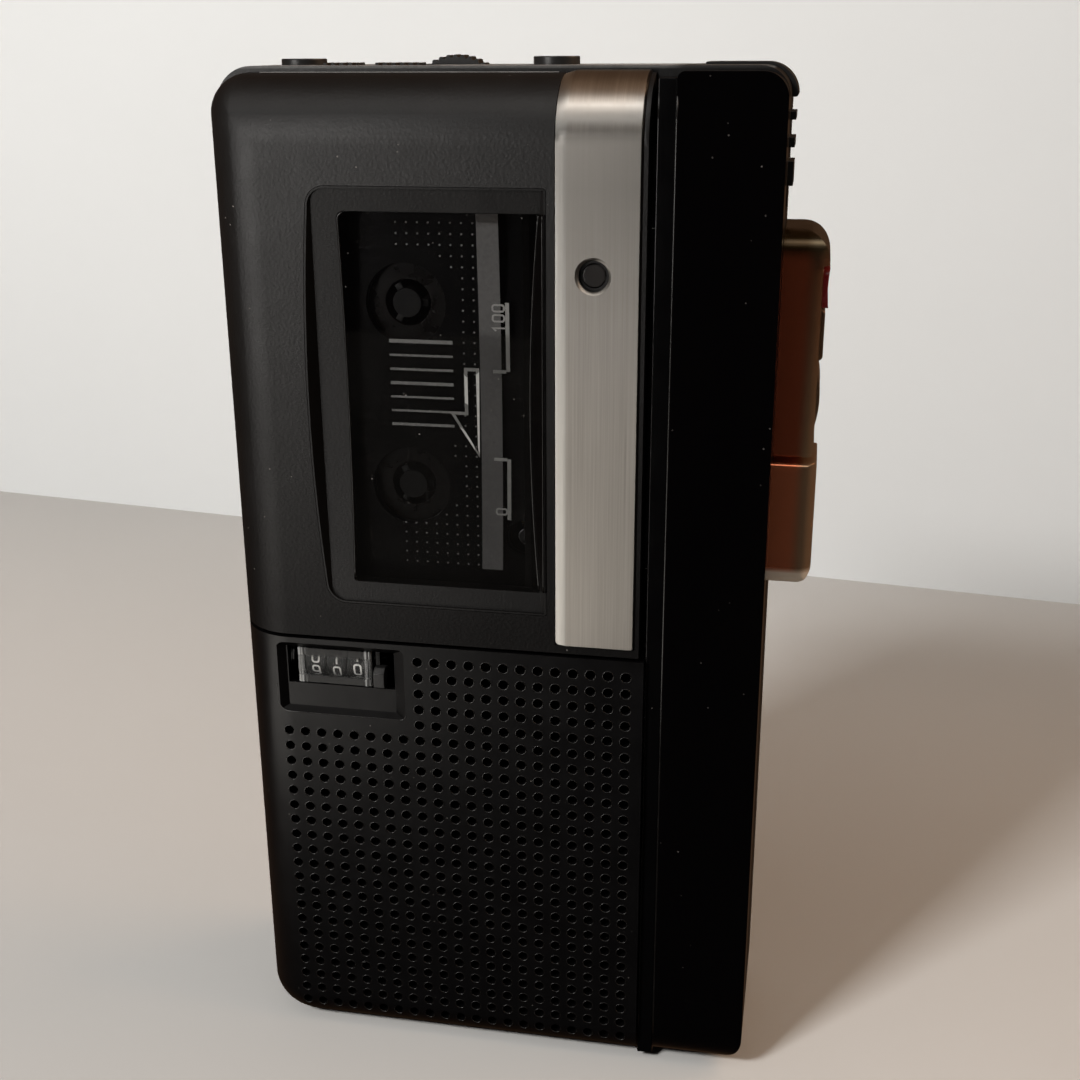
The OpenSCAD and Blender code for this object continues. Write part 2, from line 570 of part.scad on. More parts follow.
// belt as an open loop around both pulleys, round section set as a square band
bd = sqrt((mx - cx) * (mx - cx) + (mz - cz) * (mz - cz));
ba = atan2(mz - cz, mx - cx);
r1 = 5.25; r2 = 1.75;
bb = acos((r1 - r2) / bd);
module belt2d(g) {
  t1 = [cx + (r1 + g) * cos(ba + bb), cz + (r1 + g) * sin(ba + bb)];
  t2 = [mx + (r2 + g) * cos(ba + bb), mz + (r2 + g) * sin(ba + bb)];
  t3 = [mx + (r2 + g) * cos(ba - bb), mz + (r2 + g) * sin(ba - bb)];
  t4 = [cx + (r1 + g) * cos(ba - bb), cz + (r1 + g) * sin(ba - bb)];
  union() {
    translate([cx, cz]) circle(r1 + g);
    translate([mx, mz]) circle(r2 + g);
    polygon([t1, [cx, cz], t4, t3, [mx, mz], t2]);
  }
}
module drive_belt() color([0.03, 0.03, 0.03]) pxz(5.85, 6.45) difference() { belt2d(0.55); belt2d(0.0); }

module spindle_top(x, z) {
  yc(x, z, -8.0, -0.7, 1.6);
  for (k = [0 : 2]) translate([x, 0, z]) rotate([0, 120 * k, 0]) bx(0, 2.3, -7.6, -2.0, -0.4, 0.4);
  yc(x, z, -1.25, -0.7, 3.6);
  yc(x, z, -0.8, 1.0, 1.5);
}
module takeup_spindle() color([0.85, 0.85, 0.82]) union() {
  spindle_top(tx, tz);
  pxz(0.95, 2.35) translate([tx, tz]) rotate(gphi + 180 + 180 / 40) polygon(gpts(0.5, 40, 0.05));
}
module supply_spindle() color([0.85, 0.85, 0.82]) union() {
  spindle_top(sx, sz);
  yc(sx, sz, 0.95, 2.35, 6.0);
}

module head_plate() color([0.7, 0.7, 0.7]) union() {
  bx(8.6, 14.6, -1.5, -0.8, 61, 100);
  // push arm to the play key
  bx(14.5, 19.3, -1.5, -0.8, 89.4, 91.8);
  // head stand
  bx(8.6, 9.4, -7.0, -1.4, 77.5, 92.8);
  // pinch roller fork and axle
  bx(11.0, 11.6, -7.9, -1.4, 64.5, 68.5);
  bx(6.6, 11.1, -7.9, -7.45, 64.8, 68.2);
  bx(6.6, 11.1, -2.55, -2.1, 64.8, 68.2);
  yc(7.65, cz, -7.6, -2.4, 0.7);
}
module tape_heads() color([0.75, 0.74, 0.72]) {
  bx(4.7, 8.55, -7.0, -2.8, 78.2, 86.2);
  bx(4.9, 8.55, -6.8, -3.0, 88.2, 92.4);
}
module pinch_roller() color([0.05, 0.05, 0.05]) difference() {
  yc(7.65, cz, -7.25, -2.75, 3.0);
  yc(7.65, cz, -8, -2, 0.76);
}

// ---- cassette ------------------------------------------------------------
module cassette_shell() color([0.12, 0.12, 0.13]) difference() {
  pxz(cf, cr) rr(ca0, cb0, ca1, cb1, [1.2, 1.2, 1.2, 1.2]);
  pxz(cf + 1.0, cr - 1.0) rr(ca0 + 1.0, cb0 + 1.0, ca1 - 1.0, cb1 - 1.0, [0.6, 0.6, 0.6, 0.6]);
  yc(tx, tz, -10, 0, 4.4);
  yc(sx, sz, -10, 0, 4.4);
  yc(cx, cz, -10, 0, 2.0);
  // openings for heads and pinch roller
  bx(1.9, 6, -7.7, -2.3, 76.5, 94.0);
  bx(1.9, 6, -8.8, -1.2, 62.0, 71.2);
}
module reel(x, z, rp) difference() {
  union() { yc(x, z, -7.5, -2.5, 5.2); yc(x, z, -6.9, -3.1, rp); }
  yc(x, z, -9, 0, 2.5);
}
module supply_reel() color([0.35, 0.3, 0.26]) reel(sx, sz, 10.4);
module takeup_reel() color([0.35, 0.3, 0.26]) reel(tx, tz, 7.2);
module tape_run() color([0.2, 0.14, 0.1]) union() {
  bx(2.33, 2.42, -6.9, -3.1, 61.2, 103.2);
  difference() { yc(1.42, 103.2, -6.9, -3.1, 1.0); yc(1.42, 103.2, -8, -2, 0.4); }
  difference() { yc(1.42, 61.2, -6.9, -3.1, 1.0); yc(1.42, 61.2, -8, -2, 0.4); }
}

// ---- electronics and power ----------------------------------------------
module circuit_board() color([0.3, 0.24, 0.1]) union() {
  difference() {
    bx(-24.0, 25.0, 8.0, 9.0, 57.5, 101.0);
    yc(20.6, 104.5, 7, 10, 3.6);
  }
  bx(-2.0, 14.0, 8.0, 9.0, 57.5, 107.0);
  // parts on the back
  bx(-18, -8, 8.9, 10.1, 84, 90);
  bx(4, 12, 8.9, 10.1, 66, 72);
  for (k = [0 : 4]) bx(-20 + 4 * k, -18.4 + 4 * k, 8.9, 9.7, 74, 77);
  for (k = [0 : 3]) yc(18, 68 + 6 * k, 8.9, 10.2, 2.2);
  // can capacitors on the front
  for (k = [0 : 2]) yc(-20.5 + 6 * k, 97.0, 3.6, 8.1, 2.4);
}

module batteries() color([0.12, 0.12, 0.14]) {
  union() { zc(-22.5, 3.15, 4.0, 53.4, 7.15); zc(-22.5, 3.15, 53.3, 54.4, 2.7); }
  union() { zc(-7.5, 3.15, 5.1, 54.4 - 1.9, 7.15); zc(-7.5, 3.15, 4.0, 5.2, 2.7); }
}
module coil(x, z0, dirn) for (k = [0 : 2]) translate([x, 3.15, z0 + dirn * 0.55 * k]) rotate_extrude() translate([4.2 - 0.8 * k, 0]) circle(0.42, $fn = 24);
module battery_contacts() color([0.78, 0.78, 0.76]) {
  union() { bx(-28, -17, -2, 8.4, 1.6, 2.05); translate([-22.5, 3.15, 2.4]) cylinder(h = 1.5, r1 = 4.2, r2 = 2.6); translate([-22.5, 3.15, 2.0]) cylinder(h = 0.5, r = 4.2); }
  bx(-12, -3, -1, 7.3, 3.5, 3.9);
  union() { bx(-28, -2, -1, 7.3, 54.55, 54.9); translate([-7.5, 3.15, 52.6]) cylinder(h = 2.0, r1 = 2.6, r2 = 4.2); }
}

module rec_led() color([0.5, 0.05, 0.05]) union() {
  yc(led_x, led_z, -9.1, -5.6, 1.2);
  bx(led_x - 0.5, led_x + 0.5, -5.7, -1.6, led_z - 0.5, led_z + 0.5);
}

front_frame();
speaker_panel();
side_panel();
rear_case();
battery_cover();
case_screws();
door_shell();
window_bezel();
door_window();
trim_strip();
led_lens();
hinge_pins();
door_latch();
key_guard();
rec_key();
play_key();
wind_rocker();
stop_key();
key_spring_comb();
pause_slider();
volume_wheel();
volume_pot();
speed_switch();
voice_switch();
switch_bodies();
mic_jack();
ear_jack();
mic_cap();
microphone();
counter_frame();
counter_lens();
counter_drum_units();
counter_drum_tens();
counter_drum_hundreds();
counter_shaft();
reset_button();
grille_felt();
speaker_frame();
speaker_cone();
deck_plate();
motor();
motor_pulley();
drive_belt();
flywheel();
capstan();
capstan_bearing();
takeup_spindle();
supply_spindle();
head_plate();
tape_heads();
pinch_roller();
cassette_shell();
supply_reel();
takeup_reel();
tape_run();
circuit_board();
batteries();
battery_contacts();
rec_led();
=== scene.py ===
import bpy, bmesh, math
from mathutils import Matrix, Vector


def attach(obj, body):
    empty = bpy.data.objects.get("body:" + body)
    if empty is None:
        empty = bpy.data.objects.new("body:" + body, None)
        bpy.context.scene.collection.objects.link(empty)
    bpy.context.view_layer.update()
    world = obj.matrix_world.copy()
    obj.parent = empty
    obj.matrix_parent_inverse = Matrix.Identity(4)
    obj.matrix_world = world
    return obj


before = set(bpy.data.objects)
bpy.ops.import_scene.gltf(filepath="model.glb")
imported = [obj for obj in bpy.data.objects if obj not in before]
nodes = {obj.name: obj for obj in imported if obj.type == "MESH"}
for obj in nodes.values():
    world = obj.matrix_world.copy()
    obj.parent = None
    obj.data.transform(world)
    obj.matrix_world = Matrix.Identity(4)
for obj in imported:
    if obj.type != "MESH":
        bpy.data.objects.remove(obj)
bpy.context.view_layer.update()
scene = bpy.context.scene
MM = 0.001

# ---------------------------------------------------------------- camera
fwd = Vector((-0.17749, 0.92750, -0.32900)).normalized()
up0 = Vector((-0.05739, 0.32398, 0.94432))
right = fwd.cross(up0).normalized()
up = right.cross(fwd).normalized()
cam_data = bpy.data.cameras.new("camera")
cam_data.lens = 47.34
cam_data.sensor_width = 36.0
cam_data.sensor_fit = "HORIZONTAL"
cam_data.clip_start = 0.01
cam_data.clip_end = 20.0
cam = bpy.data.objects.new("camera", cam_data)
scene.collection.objects.link(cam)
cam.matrix_world = Matrix((
    (right.x, up.x, -fwd.x, 31.25 * MM),
    (right.y, up.y, -fwd.y, -155.75 * MM),
    (right.z, up.z, -fwd.z, 118.6 * MM),
    (0, 0, 0, 1)))
scene.camera = cam
scene.view_settings.view_transform = "Standard"
scene.view_settings.look = "None"
scene.view_settings.exposure = 0.0
scene.view_settings.gamma = 1.0


# ---------------------------------------------------------------- material helpers
class Mat:
    """One node material built step by step."""

    def __init__(self, name, **fixed):
        self.m = bpy.data.materials.new("look_" + name)
        self.m.use_nodes = True
        self.t = self.m.node_tree
        self.t.nodes.clear()
        self.out = self.t.nodes.new("ShaderNodeOutputMaterial")
        self.b = self.t.nodes.new("ShaderNodeBsdfPrincipled")
        self.t.links.new(self.b.outputs["BSDF"], self.out.inputs["Surface"])
        self.tc = self.t.nodes.new("ShaderNodeTexCoord")
        for k, v in fixed.items():
            self.b.inputs[k.replace("_", " ")].default_value = v

    def coord(self, sx=1.0, sy=1.0, sz=1.0):
        n = self.t.nodes.new("ShaderNodeMapping")
        n.inputs["Scale"].default_value = (sx, sy, sz)
        self.t.links.new(self.tc.outputs["Object"], n.inputs["Vector"])
        return n.outputs["Vector"]

    def noise(self, vec, scale, detail=3.0, rough=0.55, dist=0.0):
        n = self.t.nodes.new("ShaderNodeTexNoise")
        n.inputs["Scale"].default_value = scale
        n.inputs["Detail"].default_value = detail
        n.inputs["Roughness"].default_value = rough
        n.inputs["Distortion"].default_value = dist
        self.t.links.new(vec, n.inputs["Vector"])
        return n.outputs["Fac"]

    def cells(self, vec, scale, out="Distance", rnd=1.0, feature="F1"):
        n = self.t.nodes.new("ShaderNodeTexVoronoi")
        n.feature = feature
        n.inputs["Scale"].default_value = scale
        n.inputs["Randomness"].default_value = rnd
        self.t.links.new(vec, n.inputs["Vector"])
        return n.outputs[out]

    def axis(self, which):
        n = self.t.nodes.new("ShaderNodeSeparateXYZ")
        self.t.links.new(self.tc.outputs["Object"], n.inputs["Vector"])
        return n.outputs[which]

    def ramp(self, fac, stops, interp="LINEAR"):
        n = self.t.nodes.new("ShaderNodeValToRGB")
        e = n.color_ramp
        e.interpolation = interp
        while len(e.elements) < len(stops):
            e.elements.new(0.5)
        for el, (p, c) in zip(e.elements, stops):
            el.position = p
            el.color = (c, c, c, 1) if isinstance(c, (int, float)) else (c[0], c[1], c[2], 1)
        self.t.links.new(fac, n.inputs["Fac"])
        return n.outputs["Color"]

    def span(self, fac, a, b, c, d):
        n = self.t.nodes.new("ShaderNodeMapRange")
        for k, v in (("From Min", a), ("From Max", b), ("To Min", c), ("To Max", d)):
            n.inputs[k].default_value = v
        self.t.links.new(fac, n.inputs["Value"])
        return n.outputs["Result"]

    def math(self, op, a, b=None):
        n = self.t.nodes.new("ShaderNodeMath")
        n.operation = op
        for i, v in enumerate((a, b)):
            if v is None:
                continue
            if isinstance(v, (int, float)):
                n.inputs[i].default_value = v
            else:
                self.t.links.new(v, n.inputs[i])
        return n.outputs["Value"]

    def mix(self, fac, a, b):
        n = self.t.nodes.new("ShaderNodeMix")
        n.data_type = "RGBA"
        self.t.links.new(fac, n.inputs["Factor"])
        for key, v in (("A", a), ("B", b)):
            sock = [s for s in n.inputs if s.name == key and s.type == "RGBA"][0]
            if isinstance(v, (tuple, list)):
                sock.default_value = (v[0], v[1], v[2], 1)
            else:
                self.t.links.new(v, sock)
        return [s for s in n.outputs if s.type == "RGBA"][0]

    def bump(self, height, strength, dist, normal=None):
        n = self.t.nodes.new("ShaderNodeBump")
        n.inputs["Strength"].default_value = strength
        n.inputs["Distance"].default_value = dist
        self.t.links.new(height, n.inputs["Height"])
        if normal is not None:
            self.t.links.new(normal, n.inputs["Normal"])
        return n.outputs["Normal"]

    def put(self, **links):
        for k, v in links.items():
            self.t.links.new(v, self.b.inputs[k.replace("_", " ")])
        return self


def moulded(name, col, vary, r0, r1, grain, gscale, gdist, spec=0.5, dust=0.0, coat=0.0):
    """Moulded plastic: tint drift, satin roughness and a fine spark-eroded grain."""
    m = Mat(name, Specular_IOR_Level=spec, Coat_Weight=coat, Coat_Roughness=0.08)
    v = m.coord()
    big = m.noise(v, 90, 4, 0.6)
    fine = m.noise(v, gscale, 2, 0.5)
    lo = tuple(c * (1 - vary) for c in col)
    hi = tuple(c * (1 + vary) for c in col)
    c = m.ramp(big, [(0.3, lo), (0.7, hi)])
    if dust > 0:
        cell = m.cells(v, 700)
        spot = m.ramp(cell, [(0.0, 1.0), (0.045, 1.0), (0.075, 0.0)])
        some = m.ramp(m.noise(v, 260, 1, 0.5), [(0.56, 0.0), (0.66, dust)])
        c = m.mix(m.math("MULTIPLY", spot, some), c, (0.22, 0.2, 0.18))
    rough = m.span(m.noise(v, 240, 4, 0.65), 0.3, 0.7, r0, r1)
    pits = m.cells(v, gscale * 0.62)
    h = m.math("ADD", fine, m.math("MULTIPLY", pits, 0.7))
    return m.put(Base_Color=c, Roughness=rough, Normal=m.bump(h, grain, gdist)).m


def metal(name, col, vary, r0, r1, sx, sy, sz, grain, gdist, metallic=1.0, spec=0.5):
    """Metal with directional working marks."""
    m = Mat(name, Metallic=metallic, Specular_IOR_Level=spec)
    v = m.coord(sx, sy, sz)
    line = m.noise(v, 1.0, 4, 0.6)
    spot = m.noise(m.coord(), 160, 3, 0.6)
    lo = tuple(c * (1 - vary) for c in col)
    hi = tuple(min(1, c * (1 + vary)) for c in col)
    c = m.ramp(m.math("ADD", m.math("MULTIPLY", line, 0.7), m.math("MULTIPLY", spot, 0.3)), [(0.3, lo), (0.7, hi)])
    rough = m.span(line, 0.25, 0.75, r0, r1)
    return m.put(Base_Color=c, Roughness=rough, Normal=m.bump(line, grain, gdist)).m


def case_black():
    """Satin case; its upper edge is painted lighter and given sheen, a painted reflection."""
    m = Mat("case_black", Specular_IOR_Level=0.4, Sheen_Roughness=0.35)
    v = m.coord()
    c = m.ramp(m.noise(v, 90, 4, 0.6), [(0.3, (0.0043, 0.0040, 0.0039)), (0.7, (0.0057, 0.0052, 0.0051))])
    # painted reflection: a light band along the upper edge, also used as sheen weight, weaker over the side panel
    top = m.math("MULTIPLY", m.span(m.axis("Z"), 116.32 * MM, 116.5 * MM, 0.0, 1.0), m.span(m.noise(v, 380, 4, 0.7), 0.3, 0.7, 0.5, 1.0))
    top = m.math("MULTIPLY", top, m.span(m.axis("X"), 15.5 * MM, 17.5 * MM, 1.0, 0.22))
    c = m.mix(top, c, (0.085, 0.082, 0.078))
    h = m.math("ADD", m.noise(v, 3900, 2, 0.5), m.math("MULTIPLY", m.cells(v, 2400), 0.7))
    rough = m.span(m.noise(v, 240, 4, 0.65), 0.3, 0.7, 0.34, 0.46)
    return m.put(Base_Color=c, Roughness=rough, Sheen_Weight=top, Normal=m.bump(h, 0.4, 0.00003)).m


LOOK = {}
LOOK["case_black"] = case_black()
def door_black():
    """Grained satin plastic with dust specks; its specular level rises towards the top, a painted sheen."""
    m = Mat("door_black")
    v = m.coord()
    c = m.ramp(m.noise(v, 90, 4, 0.6), [(0.3, (0.0022, 0.0019, 0.0018)), (0.7, (0.0030, 0.0025, 0.0024))])
    spot = m.math("MULTIPLY", m.ramp(m.cells(v, 700), [(0.0, 1.0), (0.045, 1.0), (0.075, 0.0)]), m.ramp(m.noise(v, 260, 1, 0.5), [(0.56, 0.0), (0.66, 0.8)]))
    c = m.mix(spot, c, (0.22, 0.2, 0.18))
    h = m.math("ADD", m.noise(v, 3800, 2, 0.5), m.math("MULTIPLY", m.cells(v, 2356), 0.7))
    rough = m.span(m.noise(v, 240, 4, 0.65), 0.3, 0.7, 0.45, 0.52)
    # painted sheen: the specular level rises with height from Z 56 mm to Z 110 mm
    return m.put(Base_Color=c, Roughness=rough, Specular_IOR_Level=m.span(m.axis("Z"), 56 * MM, 110 * MM, 0.16, 0.50), Normal=m.bump(h, 0.5, 0.00004)).m


LOOK["door_black"] = door_black()
LOOK["panel_black"] = moulded("panel_black", (0.0016, 0.0014, 0.0015), 0.14, 0.30, 0.40, 0.3, 4200, 0.00002, 0.27, 0.6)
LOOK["frame_black"] = moulded("frame_black", (0.0010, 0.0009, 0.0010), 0.12, 0.16, 0.26, 0.15, 4800, 0.00001, 0.22, 0.5)
LOOK["control_black"] = moulded("control_black", (0.009, 0.0086, 0.0084), 0.14, 0.36, 0.5, 0.35, 4200, 0.00003)
LOOK["jack_black"] = moulded("jack_black", (0.011, 0.0106, 0.0104), 0.14, 0.3, 0.42, 0.25, 4200, 0.00002)
LOOK["inner_grey"] = moulded("inner_grey", (0.20, 0.20, 0.195), 0.12, 0.45, 0.6, 0.4, 2600, 0.00003)
LOOK["spindle_white"] = moulded("spindle_white", (0.0065, 0.0062, 0.0062), 0.12, 0.35, 0.5, 0.25, 2600, 0.00002)
LOOK["cassette_grey"] = moulded("cassette_grey", (0.0019, 0.0018, 0.0018), 0.12, 0.30, 0.40, 0.25, 3800, 0.00002, 0.25)
LOOK["drum_black"] = moulded("drum_black", (0.0035, 0.0035, 0.0035), 0.12, 0.35, 0.5, 0.25, 4200, 0.00002)
LOOK["belt_rubber"] = moulded("belt_rubber", (0.012, 0.012, 0.012), 0.2, 0.6, 0.8, 0.5, 3000, 0.00004)
LOOK["cone_paper"] = moulded("cone_paper", (0.02, 0.019, 0.018), 0.25, 0.75, 0.9, 0.8, 2200, 0.00008)
LOOK["screw_steel"] = metal("screw_steel", (0.42, 0.41, 0.40), 0.18, 0.22, 0.42, 2500, 2500, 400, 0.3, 0.00002)
LOOK["pin_steel"] = metal("pin_steel", (0.55, 0.55, 0.56), 0.1, 0.15, 0.3, 5000, 5000, 300, 0.25, 0.00001)
LOOK["spring_steel"] = metal("spring_steel", (0.6, 0.59, 0.56), 0.12, 0.2, 0.38, 900, 900, 3500, 0.25, 0.00001)
LOOK["inner_steel"] = metal("inner_steel", (0.5, 0.5, 0.49), 0.14, 0.25, 0.45, 700, 700, 2600, 0.25, 0.00001)
LOOK["deck_steel"] = metal("deck_steel", (0.56, 0.56, 0.54), 0.12, 0.24, 0.42, 2200, 400, 300, 0.25, 0.00001)
LOOK["head_steel"] = metal("head_steel", (0.62, 0.61, 0.59), 0.08, 0.08, 0.2, 600, 2600, 600, 0.15, 0.000006)
LOOK["brass"] = metal("brass", (0.58, 0.43, 0.18), 0.14, 0.2, 0.38, 2600, 500, 2600, 0.25, 0.00001)


def gloss_black():
    m = Mat("gloss_black", Specular_IOR_Level=0.26)
    v = m.coord()
    haze = m.noise(m.coord(26, 26, 9), 1.0, 5, 0.6)
    c = m.ramp(haze, [(0.3, (0.0004, 0.0003, 0.0004)), (0.75, (0.0009, 0.0007, 0.0008))])
    cell = m.cells(v, 620)
    spot = m.ramp(cell, [(0.0, 1.0), (0.04, 1.0), (0.07, 0.0)])
    some = m.ramp(m.noise(v, 170, 2, 0.5), [(0.52, 0.0), (0.66, 0.55)])
    c = m.mix(m.math("MULTIPLY", spot, some), c, (0.13, 0.12, 0.11))
    wipe = m.noise(m.coord(420, 420, 40), 1.0, 3, 0.6)
    rough = m.span(m.math("ADD", m.math("MULTIPLY", haze, 0.6), m.math("MULTIPLY", wipe, 0.4)), 0.3, 0.7, 0.07, 0.17)
    return m.put(Base_Color=c, Roughness=rough, Normal=m.bump(m.noise(v, 320, 2, 0.5), 0.06, 0.00002)).m


LOOK["gloss_black"] = gloss_black()


def bezel_black():
    """Satin frame of the window; its sloped side towards the trim strip is polished and painted darker as painted
    shade.
    """
    m = Mat("bezel_black", Specular_IOR_Level=0.26)
    v = m.coord()
    c = m.ramp(m.noise(v, 90, 4, 0.6), [(0.3, (0.0032, 0.0029, 0.0028)), (0.7, (0.0044, 0.0040, 0.0038))])
    open_z = m.math("MULTIPLY", m.span(m.axis("Z"), 102.5 * MM, 102.3 * MM, 0.0, 1.0), m.span(m.axis("Z"), 61.2 * MM, 61.4 * MM, 0.0, 1.0))
    polished_slope_shade = m.math("MULTIPLY", m.span(m.axis("X"), 2.2 * MM, 2.6 * MM, 0.0, 1.0), open_z)
    # painted shade: the sloped side towards the trim strip is coloured darker; its lower roughness is real polish
    c = m.mix(polished_slope_shade, c, (0.0012, 0.0010, 0.0010))
    rough = m.math("SUBTRACT", m.span(m.noise(v, 240, 4, 0.65), 0.3, 0.7, 0.36, 0.46), m.math("MULTIPLY", polished_slope_shade, 0.2))
    h = m.math("ADD", m.noise(v, 3800, 2, 0.5), m.math("MULTIPLY", m.cells(v, 2600), 0.7))
    return m.put(Base_Color=c, Roughness=rough, Normal=m.bump(h, 0.4, 0.00003)).m


LOOK["bezel_black"] = bezel_black()


def brushed_trim():
    """Brushed along its length, so that reflections spread across it; its tone along the height and at its edges
    carries painted shade and painted highlights.
    """
    m = Mat("brushed_trim", Metallic=1.0, Anisotropic=0.82)
    line = m.noise(m.coord(9000, 60, 60), 1.0, 3, 0.6)
    wide = m.noise(m.coord(2200, 26, 26), 1.0, 3, 0.6)
    both = m.math("ADD", m.math("MULTIPLY", line, 0.65), m.math("MULTIPLY", wide, 0.35))
    c = m.ramp(both, [(0.3, (0.46, 0.425, 0.385)), (0.7, (0.62, 0.585, 0.54))])
    # the bevel on the left, below X 6.6 mm, has no brushing lines and is set lighter: its polish is real, its lighter
    # tone is a painted highlight
    c = m.mix(m.span(m.axis("X"), 6.62 * MM, 6.52 * MM, 0.0, 1.0), c, (0.60, 0.58, 0.545))
    # painted shade: the face is darkened more and more with height from Z 80 mm up to about Z 110 mm, just below the
    # top bend
    rise = m.span(m.axis("Z"), 78 * MM, 112 * MM, 0.0, 1.0)
    tone = m.ramp(rise, [(0.06, 0.0), (0.206, 0.11), (0.397, 0.34), (0.5, 0.50), (0.676, 0.70), (0.794, 0.80), (0.938, 0.80), (0.9485, 0.60), (0.9588, 0.27), (0.969, 0.0)])
    c = m.mix(tone, c, (0.15, 0.142, 0.130))
    # painted highlight: a lighter band on the top bend, about Z 111 mm to 113.4 mm
    c = m.mix(m.math("MULTIPLY", m.span(m.axis("Z"), 111.0 * MM, 111.7 * MM, 0.0, 1.0), m.span(m.axis("Z"), 113.4 * MM, 113.0 * MM, 0.0, 1.0)), c, (0.67, 0.64, 0.60))
    # painted shade: the right side of the strip, beside the groove, is coloured near black
    c = m.mix(m.span(m.axis("X"), 14.02 * MM, 14.10 * MM, 0.0, 1.0), c, (0.030, 0.028, 0.026))
    rough = m.span(both, 0.3, 0.7, 0.36, 0.50)
    g = m.t.nodes.new("ShaderNodeNewGeometry")
    x = m.t.nodes.new("ShaderNodeVectorMath")
    x.operation = "CROSS_PRODUCT"
    x.inputs[1].default_value = (0.0, 0.7071, 0.7071)
    m.t.links.new(g.outputs["Normal"], x.inputs[0])
    return m.put(Base_Color=c, Roughness=rough, Tangent=x.outputs["Vector"], Normal=m.bump(both, 0.25, 0.00002)).m


LOOK["brushed_trim"] = brushed_trim()


def key_bronze():
    """Lacquered bronze, with painted reflections on the crown of the guard, the right edges of the keys and the foot of
    the stop key.
    """
    m = Mat("key_bronze", Specular_IOR_Level=0.3, Coat_Weight=0.15, Coat_Roughness=0.05)
    v = m.coord()
    soft = m.noise(m.coord(60, 60, 25), 1.0, 4, 0.6)
    line = m.noise(m.coord(300, 300, 4200), 1.0, 2, 0.5)
    c = m.ramp(soft, [(0.3, (0.40, 0.092, 0.040)), (0.72, (0.52, 0.130, 0.058))])
    # painted reflection: the crown of the guard, above Z 98.6 mm, is coloured dark gold
    c = m.mix(m.span(m.axis("Z"), 97.4 * MM, 98.6 * MM, 0.0, 1.0), c, (0.055, 0.032, 0.011))
    c = m.mix(m.span(m.axis("Z"), 76.0 * MM, 75.8 * MM, 0.0, 1.0), c, (0.80, 0.245, 0.115))
    # painted reflection: beyond X 30.6 mm the keys run to olive and grey, lighter towards the bottom
    edge = m.ramp(m.span(m.axis("Z"), 74 * MM, 96 * MM, 0.0, 1.0), [(0.0, (0.32, 0.30, 0.19)), (1.0, (0.13, 0.098, 0.056))])
    c = m.mix(m.span(m.axis("X"), 30.6 * MM, 31.6 * MM, 0.0, 0.75), c, edge)
    # painted reflection of the floor: below Z 63.6 mm the stop key is pale and less metallic
    c = m.mix(m.span(m.axis("Z"), 63.6 * MM, 63.0 * MM, 0.0, 1.0), c, (0.62, 0.54, 0.45))
    rough = m.span(m.math("ADD", m.math("MULTIPLY", soft, 0.6), m.math("MULTIPLY", line, 0.4)), 0.3, 0.7, 0.14, 0.26)
    met = m.span(m.axis("Z"), 63.6 * MM, 63.0 * MM, 0.75, 0.2)
    return m.put(Base_Color=c, Metallic=met, Roughness=rough, Normal=m.bump(m.noise(v, 1500, 3, 0.6), 0.10, 0.00001)).m


LOOK["key_bronze"] = key_bronze()


def key_red():
    m = Mat("key_red", Specular_IOR_Level=0.35, Coat_Weight=0.1, Coat_Roughness=0.08)
    v = m.coord()
    c = m.ramp(m.noise(v, 220, 3, 0.6), [(0.3, (0.13, 0.007, 0.008)), (0.7, (0.19, 0.011, 0.011))])
    rough = m.span(m.noise(v, 500, 3, 0.6), 0.3, 0.7, 0.2, 0.34)
    return m.put(Base_Color=c, Roughness=rough, Normal=m.bump(m.noise(v, 3000, 2, 0.5), 0.12, 0.00001)).m


LOOK["key_red"] = key_red()


def pane(name, c0, c1, alpha, r0, r1):
    """Clear or smoked sheet."""
    m = Mat(name, Specular_IOR_Level=0.5, Alpha=alpha)
    v = m.coord()
    c = m.ramp(m.noise(v, 120, 3, 0.6), [(0.3, c0), (0.7, c1)])
    rough = m.span(m.noise(m.coord(60, 60, 140), 1.0, 4, 0.65), 0.3, 0.7, r0, r1)
    return m.put(Base_Color=c, Roughness=rough, Normal=m.bump(m.noise(v, 260, 2, 0.5), 0.05, 0.00002)).m


def smoked_pane():
    """Smoked window with fine scratches and dust specks; its lower two thirds are painted lighter and more opaque, a
    painted reflection.
    """
    m = Mat("smoked_pane", Specular_IOR_Level=0.3)
    v = m.coord()
    # painted reflection: below Z 89.2 to 89.9 mm the pane is patchily lighter and more opaque
    painted_lower_reflection = m.span(m.axis("Z"), 89.9 * MM, 89.2 * MM, 0.0, 1.0)
    patch = m.span(m.noise(v, 150, 4, 0.65), 0.3, 0.75, 0.45, 1.0)
    painted_lower_reflection = m.math("MULTIPLY", painted_lower_reflection, patch)
    scr = m.ramp(m.noise(m.coord(2600, 300, 240), 1.0, 4, 0.7, 1.5), [(0.66, 0.0), (0.74, 0.6)])
    spot = m.math("MULTIPLY", m.ramp(m.cells(v, 620), [(0.0, 1.0), (0.04, 1.0), (0.07, 0.0)]), m.ramp(m.noise(v, 210, 1, 0.5), [(0.5, 0.0), (0.6, 1.0)]))
    dirt = m.math("MAXIMUM", m.math("MULTIPLY", scr, 0.35), spot)
    c = m.mix(painted_lower_reflection, (0.0010, 0.0008, 0.0008), (0.0048, 0.0044, 0.0040))
    c = m.mix(dirt, c, (0.16, 0.15, 0.14))
    alpha = m.math("ADD", m.span(painted_lower_reflection, 0, 1, 0.36, 0.48), m.math("MULTIPLY", dirt, 0.4))
    rough = m.span(patch, 0.3, 1.0, 0.05, 0.14)
    return m.put(Base_Color=c, Alpha=alpha, Roughness=rough, Normal=m.bump(m.noise(v, 260, 2, 0.5), 0.05, 0.00002)).m


